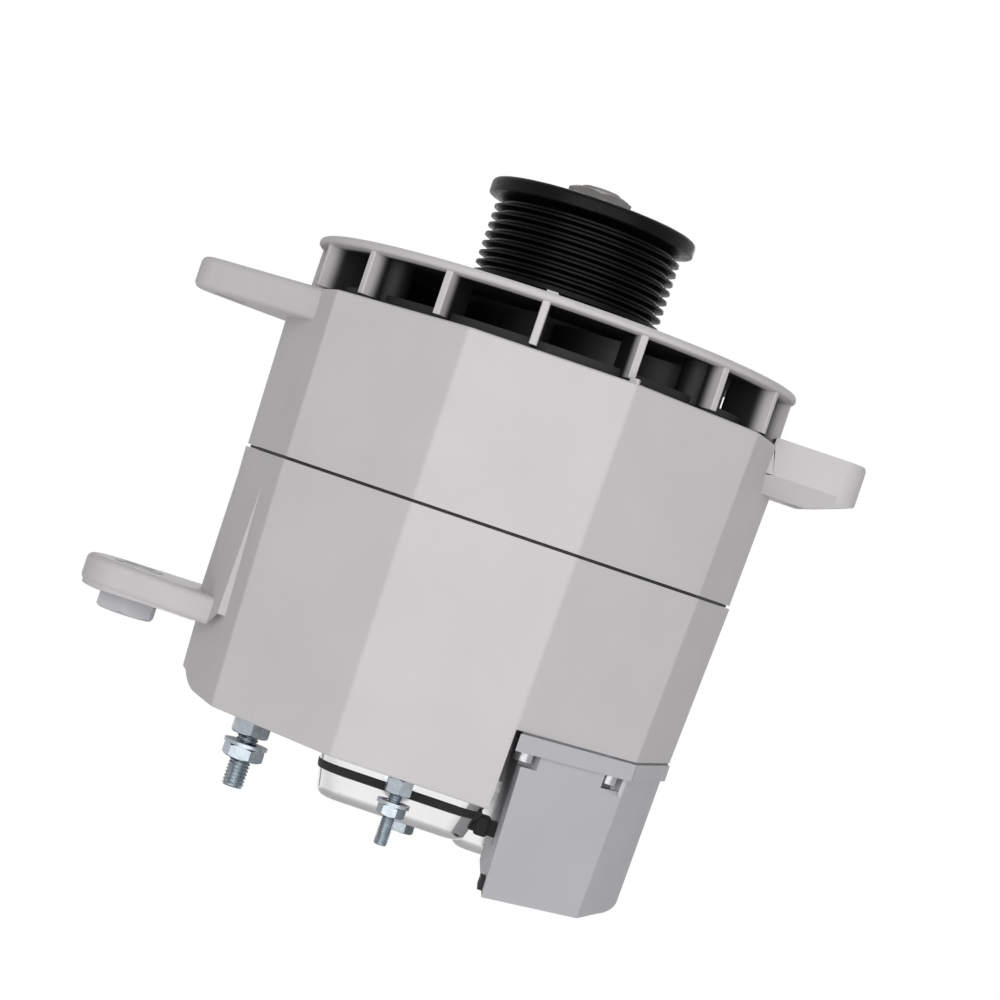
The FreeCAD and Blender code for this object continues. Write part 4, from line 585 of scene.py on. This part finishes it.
def skinned(rings, closed=True):
    """Shape whose skin runs through rings of points, round and round, back to the first ring."""
    shape = bmesh.new()
    rows = [[shape.verts.new(point) for point in ring] for ring in rings]
    count = len(rings[0])
    for row, following in zip(rows, rows[1:] + rows[:1]):
        for k in range(count if closed else count - 1):
            after = (k + 1) % count
            shape.faces.new((row[k], row[after], following[after], following[k]))
    if not closed:
        shape.faces.new([row[0] for row in rows])
        shape.faces.new([row[-1] for row in reversed(rows)])
    bmesh.ops.recalc_face_normals(shape, faces=shape.faces)
    return shape


# Rolled threads, by a rule in Geometry Nodes, and how deep they are cut on each stud

OUTPUT_THREAD, SIGNAL_THREAD = 0.66 * MM, 0.44 * MM


def thread_tree():
    """Threaded rod: a cylinder whose skin follows one ridge that winds round it, faded out at both ends."""
    tree = bpy.data.node_groups.new("rolled_thread", "GeometryNodeTree")
    sockets = tree.interface
    sockets.new_socket("Geometry", in_out="OUTPUT", socket_type="NodeSocketGeometry")
    for name, kind, value in (("Facets", "NodeSocketInt", 48), ("Radius", "NodeSocketFloat", 4 * MM),
                              ("Pitch", "NodeSocketFloat", 1.25 * MM), ("Depth", "NodeSocketFloat", 0.7 * MM),
                              ("Low", "NodeSocketFloat", 0.0), ("High", "NodeSocketFloat", 0.02),
                              ("Place", "NodeSocketVector", (0.0, 0.0, 0.0)),
                              ("Finish", "NodeSocketMaterial", None)):
        socket = sockets.new_socket(name, in_out="INPUT", socket_type=kind)
        if value is not None:
            socket.default_value = value
    given = tree.nodes.new("NodeGroupInput").outputs

    def maths(operation, *inputs):
        settings = {"operation": operation}
        links = {}
        for k, value in enumerate(inputs):
            (settings if isinstance(value, (int, float)) else links)[k] = value
        return add_node(tree, "ShaderNodeMath", settings, links).outputs["Value"]

    length = maths("SUBTRACT", given["High"], given["Low"])
    rows = maths("MULTIPLY", maths("DIVIDE", length, given["Pitch"]), 8)
    rod = add_node(tree, "GeometryNodeMeshCylinder", {},
                   {"Vertices": given["Facets"], "Side Segments": rows, "Radius": given["Radius"],
                    "Depth": length})
    place = add_node(tree, "GeometryNodeInputPosition").outputs["Position"]
    parts = add_node(tree, "ShaderNodeSeparateXYZ", {}, {0: place}).outputs
    turn = maths("DIVIDE", maths("ARCTAN2", parts["Y"], parts["X"]), 2 * math.pi)
    wound = maths("FRACT", maths("ADD", maths("DIVIDE", parts["Z"], given["Pitch"]), turn))
    groove = maths("SUBTRACT", 1.0, maths("ABSOLUTE", maths("SUBTRACT", maths("MULTIPLY", wound, 2.0), 1.0)))
    to_end = maths("SUBTRACT", maths("MULTIPLY", length, 0.5), maths("ABSOLUTE", parts["Z"]))
    chamfer = maths("SUBTRACT", 1.0, maths("MINIMUM", maths("DIVIDE", to_end, given["Pitch"]), 1.0))
    sink = maths("MULTIPLY", maths("MAXIMUM", groove, chamfer), given["Depth"])
    flat = add_node(tree, "ShaderNodeVectorMath", {"operation": "MULTIPLY", 1: (1.0, 1.0, 0.0)}, {0: place})
    outward = add_node(tree, "ShaderNodeVectorMath", {"operation": "NORMALIZE"}, {0: flat.outputs["Vector"]})
    inward = add_node(tree, "ShaderNodeVectorMath", {"operation": "SCALE"},
                      {0: outward.outputs["Vector"], "Scale": maths("MULTIPLY", sink, -1.0)})
    middle = maths("MULTIPLY", maths("ADD", given["High"], given["Low"]), 0.5)
    raised = add_node(tree, "ShaderNodeCombineXYZ", {}, {"Z": middle})
    stand = add_node(tree, "ShaderNodeVectorMath", {"operation": "ADD"},
                     {0: given["Place"], 1: raised.outputs["Vector"]})
    offset = add_node(tree, "ShaderNodeVectorMath", {"operation": "ADD"},
                      {0: inward.outputs["Vector"], 1: stand.outputs["Vector"]})
    shaped = add_node(tree, "GeometryNodeSetPosition", {},
                      {"Geometry": rod.outputs["Mesh"], "Offset": offset.outputs["Vector"]})
    real = add_node(tree, "GeometryNodeRealizeInstances", {}, {0: shaped.outputs["Geometry"]})
    painted = add_node(tree, "GeometryNodeSetMaterial", {},
                       {"Geometry": real.outputs["Geometry"], "Material": given["Finish"]})
    tree.links.new(painted.outputs["Geometry"], tree.nodes.new("NodeGroupOutput").inputs["Geometry"])
    return tree


def threaded_rod(tree, name, finish, **values):
    """One rod made by the thread's rule."""
    piece = bpy.data.objects.new(name, bpy.data.meshes.new(name))
    bpy.context.scene.collection.objects.link(piece)
    modifier = piece.modifiers.new("thread", "NODES")
    modifier.node_group = tree
    for item in tree.interface.items_tree:
        if item.in_out == "INPUT":
            key = item.name.lower()
            value = finishes[finish] if key == "finish" else values.get(key, item.default_value)
            modifier[item.identifier] = value
    piece = made_plain(piece, name, finish)
    for face in piece.data.polygons:
        face.use_smooth = True
    piece.data.set_sharp_from_angle(angle=math.radians(60))
    return piece


# Regulator box. Lengths that redraw a point by point are in millimetres, the others in metres

# Corner radius of the flange and, by height, of the box, and how the box's corners are rounded
FLANGE_CORNER = 91.863 * MM
BOX_CORNERS = ((-221.6 * MM, 86.278 * MM), (-170.3 * MM, 88.078 * MM))
BOX_CORNER, BOX_CORNER_DEPTH = 14.4 * MM, 2.0 * MM
BOX_SHARPNESS = 0.6
BOX_WIDENING = 1.025
BOX_FOOT = deeper_foot(-205 * MM, 20 * MM)
# The stretch that fills out the foot's right end
FOOT_LEVEL, FOOT_START, FOOT_END, FOOT_STRETCH = -217.0, 79.9, 84.5, 1.4035
# Where the screws are, how far the right one moves, and the size of the pockets and heads
BOX_SCREWS = ((36.17, -76.28), (63.81, -55.14))
BACK_SCREWS = ((42.0, 17.8), (73.0, 17.8))
SCREW_SHIFT = (3.5, 2.67)
POCKET_RADIUS, POCKET_TOP, POCKET_FOOT, POCKET_RISE = 7.6, -180.0, -176.0, 1.6
FLANGE_UNDERSIDE, HEAD_SLACK, HEAD_SHARES = -170.3, 0.3, (0.84, 0.8)
# The flange's left edge, and the middle, share and rise of the grommet and the plug
FLANGE_LEFT, FLANGE_FADE, FLANGE_DRAWN_IN = 36.5, 35.0, 1.44
GROMMET_WIDTH, GROMMET_HEIGHT = (-54.0, 0.8), (-202.75, 0.78, 1.75)
(_, _, PLUG_LOW), (PLUG_RIGHT, _, _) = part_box("regulator_plug")
PLUG_SHARES = (0.6, 0.8)


def box_corner(z):
    """Corner radius of the regulator box, which tapers towards its foot."""
    (low, small), (high, large) = BOX_CORNERS
    return small + (large - small) * ramp(z, low, high)


def box_pockets(x, y, z):
    """Pockets less tall, the right one further along its facet, and a fuller round at the right foot."""
    if FOOT_START < x <= FOOT_END and z < FOOT_LEVEL:
        x = FOOT_START + (x - FOOT_START) * FOOT_STRETCH
    for k, (at_x, at_y) in enumerate(BOX_SCREWS):
        if math.hypot(x - at_x, y - at_y) < POCKET_RADIUS and z > POCKET_TOP:
            if z < POCKET_FOOT:
                z += POCKET_RISE
            if k:
                x, y = x + SCREW_SHIFT[0], y + SCREW_SHIFT[1]
            break
    return x, y, z


def small_screws(x, y, z):
    """Smaller heads, and the right front screw further along its facet."""
    places = BOX_SCREWS + BACK_SCREWS
    k = min(range(len(places)), key=lambda place: math.hypot(x - places[place][0], y - places[place][1]))
    at_x, at_y = places[k]
    if z < FLANGE_UNDERSIDE + HEAD_SLACK:
        width, height = HEAD_SHARES
        x, y = at_x + (x - at_x) * width, at_y + (y - at_y) * width
        z = FLANGE_UNDERSIDE + (z - FLANGE_UNDERSIDE) * height
    if k == 1:
        x, y = x + SCREW_SHIFT[0], y + SCREW_SHIFT[1]
    return x, y, z


def flush_left(x, y, z):
    """Draws the left edge of the flange and the gasket in to the wall of the box."""
    return x + FLANGE_DRAWN_IN * ramp(x, FLANGE_LEFT, FLANGE_FADE), y, z


def small_grommet(x, y, z):
    """A slimmer grommet, a little higher on the cover's wall."""
    (middle_y, width), (middle_z, height, rise) = GROMMET_WIDTH, GROMMET_HEIGHT
    return x, middle_y + (y - middle_y) * width, middle_z + rise + (z - middle_z) * height


def small_plug(x, y, z):
    """A slimmer plug socket that stands less far out of the box's wall."""
    right, low = PLUG_RIGHT / MM, PLUG_LOW / MM
    return right + (x - right) * PLUG_SHARES[0], y, low + (z - low) * PLUG_SHARES[1]


# Brush cover's wall: its height, its outline at the top, how each side leans, and where the dark band starts,
# which stands for the cover's rolled bead and whose dark colour is painted reflection and shade

BAND_TOP = -196.2 * MM
BAND_START = -46.5 * MM
BAND_SECTION = ((0.0, 0.0), (0.45, 0.1), (0.6, 0.5), (0.45, 0.9), (0.0, 1.0), (-0.4, 1.0), (-0.4, 0.0))
COVER_DEPTH = 16.5 * MM
COVER_TOP = (-30.5 * MM, 30.5 * MM, -66.0 * MM, 20.0 * MM)
COVER_LEAN = (3.0 * MM, -4.5 * MM, 2.0 * MM, -2.0 * MM)
COVER_CORNER = 9.0 * MM


def cover_outline(z, grow, arc_steps=6):
    """Points round the brush cover's wall at a height, from above the lead grommet round to below it."""
    share = (REAR_FACE_Z - z) / COVER_DEPTH
    left, right, front, back = (start + lean * share for start, lean in zip(COVER_TOP, COVER_LEAN))
    radius = COVER_CORNER
    points = [(right + grow, BAND_START)]
    for x, y, first in ((right - radius, back - radius, 0), (left + radius, back - radius, 90),
                        (left + radius, front + radius, 180), (right - radius, front + radius, 270)):
        for step in range(arc_steps + 1):
            turn = math.radians(first + 90 * step / arc_steps)
            points.append((x + (radius + grow) * math.cos(turn), y + (radius + grow) * math.sin(turn)))
    return points


# Operators

class AlternatorPiece:
    """What the pieces' operators share."""

    bl_options = {"REGISTER", "UNDO"}


class ALTERNATOR_OT_finishes(AlternatorPiece, bpy.types.Operator):
    """Gives every carried-over piece of the model its finish"""

    bl_idname = "alternator.finishes"
    bl_label = "Finish the pieces"

    def execute(self, context):
        scene = context.scene
        finishes.update(make_finishes(scene.alternator_colours, scene.alternator_sizes))
        for name, node in frame["nodes"].items():
            node.data.materials.clear()
            node.data.materials.append(finishes[finish_of[name]])
        return {"FINISHED"}


class ALTERNATOR_OT_castings(AlternatorPiece, bpy.types.Operator):
    """Draws the ten upright corners of both castings as crisp as the real ones"""

    bl_idname = "alternator.castings"
    bl_label = "Crisp casting corners"

    def execute(self, context):
        corner = context.scene.alternator_sizes.corner
        for node, radius_at, corner_depth_at, skin_at, lug in CASTINGS:
            shape = merged(node)
            sharper(shape, radius_at, MODEL_CORNER, corner, corner_depth_at)
            slimmer(shape, radius_at, SLIMMING, skin_at)
            if lug is adjuster_lug:
                split_at_belly(shape)
            redrawn(shape, lug)
            stands_for(finished(shape, "crisp_" + node, finish_of[node]), "housing", node)
        return {"FINISHED"}


class ALTERNATOR_OT_seam_shade(AlternatorPiece, bpy.types.Operator):
    """Lays a dark bead in the seam between the two castings, as painted shade of the seam's groove"""

    bl_idname = "alternator.seam_sealant"
    bl_label = "Seam shade bead"

    def execute(self, context):
        sizes = context.scene.alternator_sizes
        rings = []
        for depth, height in SEAM_SHADE_SECTION:
            sunk = sizes.seam_shade_depth + depth * MM
            radius = front_corner(SEAM_Z) * SLIMMING - sunk / CORNER_TO_FLAT
            outline = ten_sided_ring(radius, max(sizes.corner - sunk, 0.3 * MM))
            rings.append([(x, y, SEAM_Z + height * MM) for x, y in outline])
        # The bead's dark finish paints the shade in the seam's groove
        piece = finished(skinned(rings), "painted_seam_shade_bead", "painted_seam_shade")
        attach(piece, "housing")
        return {"FINISHED"}


class ALTERNATOR_OT_regulator(AlternatorPiece, bpy.types.Operator):
    """Crisps the regulator's box and flange, and sets smaller screws in its pockets"""

    bl_idname = "alternator.regulator"
    bl_label = "Regulator box"

    def execute(self, context):
        corner = context.scene.alternator_sizes.corner
        box = merged("regulator_box")
        sharper(box, box_corner, BOX_CORNER, corner * BOX_SHARPNESS, lambda z: BOX_CORNER_DEPTH)
        redrawn(box, box_pockets)
        slimmer(box, box_corner, BOX_WIDENING, BOX_FOOT)
        stands_for(finished(box, "crisp_regulator_box", "box_casting"), "housing", "regulator_box")
        for node in ("regulator_flange", "regulator_gasket"):
            plate = merged(node)
            sharper(plate, lambda z: FLANGE_CORNER, MODEL_CORNER, corner, lambda z: CORNER_DEPTH)
            redrawn(plate, flush_left)
            stands_for(finished(plate, "crisp_" + node, finish_of[node]), "housing", node)
        for node, rule in (("regulator_screws", small_screws), ("lead_grommet", small_grommet),
                           ("regulator_plug", small_plug)):
            piece = merged(node)
            redrawn(piece, rule)
            stands_for(finished(piece, "small_" + node, finish_of[node]), "housing", node)
        return {"FINISHED"}


class ALTERNATOR_OT_studs(AlternatorPiece, bpy.types.Operator):
    """Rolls the threads of the two terminal studs"""

    bl_idname = "alternator.studs"
    bl_label = "Threaded studs"

    def execute(self, context):
        sizes = context.scene.alternator_sizes
        tree = thread_tree()
        for node, pitch, depth in (("output_stud", sizes.output_pitch, OUTPUT_THREAD),
                                   ("signal_stud", sizes.signal_pitch, SIGNAL_THREAD)):
            low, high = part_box(node)
            radius = (high[1] - low[1]) / 2
            middle = ((low[0] + high[0]) / 2 if node == "signal_stud" else high[0] - radius,
                      (low[1] + high[1]) / 2, 0.0)
            piece = threaded_rod(tree, "threaded_" + node, "zinc_steel", facets=sizes.facets, radius=radius,
                                 pitch=pitch, depth=depth, low=low[2], high=high[2], place=middle)
            stands_for(piece, "housing", node)
        return {"FINISHED"}


class ALTERNATOR_OT_cover_band(AlternatorPiece, bpy.types.Operator):
    """Wraps a dark band round the brush cover's wall: the shape of the cover's rolled bead, its dark colour
    painted reflection and shade
    """

    bl_idname = "alternator.cover_band"
    bl_label = "Cover painted band"

    def execute(self, context):
        height = context.scene.alternator_sizes.band_height
        rings = []
        for grow, share in BAND_SECTION:
            z = BAND_TOP - height * share
            rings.append([(x, y, z) for x, y in cover_outline(z, grow * MM)])
        # The band's dark rubber finish is painted reflection and shade of the polished cover's bead
        piece = finished(skinned(rings, closed=False), "cover_band", "rubber")
        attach(piece, "housing")
        return {"FINISHED"}


class ALTERNATOR_OT_stage(AlternatorPiece, bpy.types.Operator):
    """Sets the floor, the white surroundings, the soft lamps and the camera"""

    bl_idname = "alternator.stage"
    bl_label = "Set the stage"

    def execute(self, context):
        stage = context.scene.alternator_stage
        make_floor(stage)
        make_world(context.scene)
        make_lamps()
        make_camera(context.scene, stage)
        context.scene.view_settings.view_transform = "Standard"
        return {"FINISHED"}


FLOOR_RADIUS = 1.6
FLOOR_FADE = (0.5, 1.5)


def make_floor(stage):
    """Pale round floor well below the part, which hangs from its hinge lugs; its rim fades to white."""
    mesh = bpy.data.meshes.new("floor")
    disc = bmesh.new()
    bmesh.ops.create_circle(disc, cap_ends=True, segments=96, radius=FLOOR_RADIUS,
                            matrix=Matrix.Translation((0, 0, -stage.floor_drop)))
    disc.to_mesh(mesh)
    disc.free()
    floor = bpy.data.objects.new("floor", mesh)
    bpy.context.scene.collection.objects.link(floor)
    material, tree, shader = new_material("pale_floor", linear("F2F2F2"), 0.0, 0.8)
    place = add_node(tree, "ShaderNodeTexCoord")
    level = add_node(tree, "ShaderNodeVectorMath", {"operation": "MULTIPLY", 1: (1.0, 1.0, 0.0)},
                     {0: place.outputs["Object"]})
    radius = add_node(tree, "ShaderNodeVectorMath", {"operation": "LENGTH"}, {0: level.outputs["Vector"]})
    fade = add_node(tree, "ShaderNodeMapRange", {"interpolation_type": "SMOOTHSTEP",
                                                 "From Min": FLOOR_FADE[0], "From Max": FLOOR_FADE[1]},
                    {"Value": radius.outputs["Value"]})
    white = add_node(tree, "ShaderNodeEmission", {"Color": (1.0, 1.0, 1.0, 1.0)})
    mix = add_node(tree, "ShaderNodeMixShader", {}, {0: fade.outputs["Result"], 1: shader.outputs["BSDF"],
                                                    2: white.outputs["Emission"]})
    tree.links.new(mix.outputs["Shader"], tree.nodes["Material Output"].inputs["Surface"])
    mesh.materials.append(material)


AMBIENT = 0.17


def make_world(scene):
    """White where the eye or a mirror looks, and a dimmer, even light everywhere else."""
    world = bpy.data.worlds.new("studio")
    scene.world = world
    world.use_nodes = True
    tree = world.node_tree
    path = add_node(tree, "ShaderNodeLightPath")
    seen = add_node(tree, "ShaderNodeMath", {"operation": "MAXIMUM"},
                    {0: path.outputs["Is Camera Ray"], 1: path.outputs["Is Glossy Ray"]})
    seen = add_node(tree, "ShaderNodeMath", {"operation": "MAXIMUM"},
                    {0: seen.outputs["Value"], 1: path.outputs["Is Transmission Ray"]})
    strength = add_node(tree, "ShaderNodeMapRange", {"To Min": AMBIENT, "To Max": 1.0},
                        {"Value": seen.outputs["Value"]})
    background = tree.nodes["Background"]
    background.inputs["Color"].default_value = (1.0, 1.0, 1.0, 1.0)
    tree.links.new(strength.outputs["Result"], background.inputs["Strength"])


LAMPS = (
    ("key_softbox", (-0.45, -1.7, 0.2), 1.2, 11.7),
    ("fill_softbox", (0.65, -1.65, 0.1), 1.2, 9.0),
    ("top_softbox", (0.1, 0.3, 1.3), 1.0, 3.5),
    ("back_softbox", (0.2, 1.9, 0.5), 0.9, 9.0),
)
LAMP_AIM = Vector((0.0, 0.0, -0.1))


def make_lamps():
    """Large soft lamps: a key and a fill in front, one overhead and one behind."""
    for name, place, size, power in LAMPS:
        light = bpy.data.lights.new(name, "AREA")
        light.shape = "SQUARE"
        light.size = size
        light.energy = power
        lamp = bpy.data.objects.new(name, light)
        lamp.location = place
        lamp.rotation_euler = (LAMP_AIM - lamp.location).to_track_quat("-Z", "Y").to_euler()
        bpy.context.scene.collection.objects.link(lamp)


CAMERA_HEIGHT = -0.102
CAMERA_AIM = Vector((0.0008, 0.0, -0.0915))


def make_camera(scene, stage):
    """Level camera in front of the seam, rolled so that the pulley leans to the right."""
    camera_data = bpy.data.cameras.new("camera")
    camera_data.lens = stage.focal
    camera_data.sensor_width = 36.0
    camera_data.clip_end = 20.0
    camera = bpy.data.objects.new("camera", camera_data)
    scene.collection.objects.link(camera)
    place = Vector((0.0, -stage.distance, CAMERA_HEIGHT))
    level = (CAMERA_AIM - place).to_track_quat("-Z", "Y").to_matrix().to_4x4()
    camera.matrix_world = Matrix.Translation(place) @ level @ Matrix.Rotation(stage.roll, 4, "Z")
    scene.camera = camera


class ALTERNATOR_PT_sidebar(bpy.types.Panel):
    """Lists the steps that dress the part"""

    bl_idname = "ALTERNATOR_PT_sidebar"
    bl_label = "Generator alternator head"
    bl_space_type = "VIEW_3D"
    bl_region_type = "UI"
    bl_category = "Alternator"

    def draw(self, context):
        layout = self.layout
        for group in (context.scene.alternator_sizes, context.scene.alternator_colours,
                      context.scene.alternator_stage):
            box = layout.box()
            for name in group.__annotations__:
                box.prop(group, name)
        for operator in OPERATORS:
            layout.operator(operator.bl_idname)


OPERATORS = (ALTERNATOR_OT_finishes, ALTERNATOR_OT_castings, ALTERNATOR_OT_seam_shade,
             ALTERNATOR_OT_regulator, ALTERNATOR_OT_studs, ALTERNATOR_OT_cover_band, ALTERNATOR_OT_stage)
GROUPS = (("alternator_colours", AlternatorColours), ("alternator_sizes", AlternatorSizes),
          ("alternator_stage", AlternatorStage))


def register():
    for name, group in GROUPS:
        bpy.utils.register_class(group)
        setattr(bpy.types.Scene, name, PointerProperty(type=group))
    for cls in OPERATORS + (ALTERNATOR_PT_sidebar,):
        bpy.utils.register_class(cls)


def unregister():
    for cls in reversed(OPERATORS + (ALTERNATOR_PT_sidebar,)):
        bpy.utils.unregister_class(cls)
    for name, group in reversed(GROUPS):
        delattr(bpy.types.Scene, name)
        bpy.utils.unregister_class(group)


def main():
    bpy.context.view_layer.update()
    register()
    for operator in OPERATORS:
        group, name = operator.bl_idname.split(".")
        getattr(getattr(bpy.ops, group), name)()


if __name__ == "__main__":
    main()
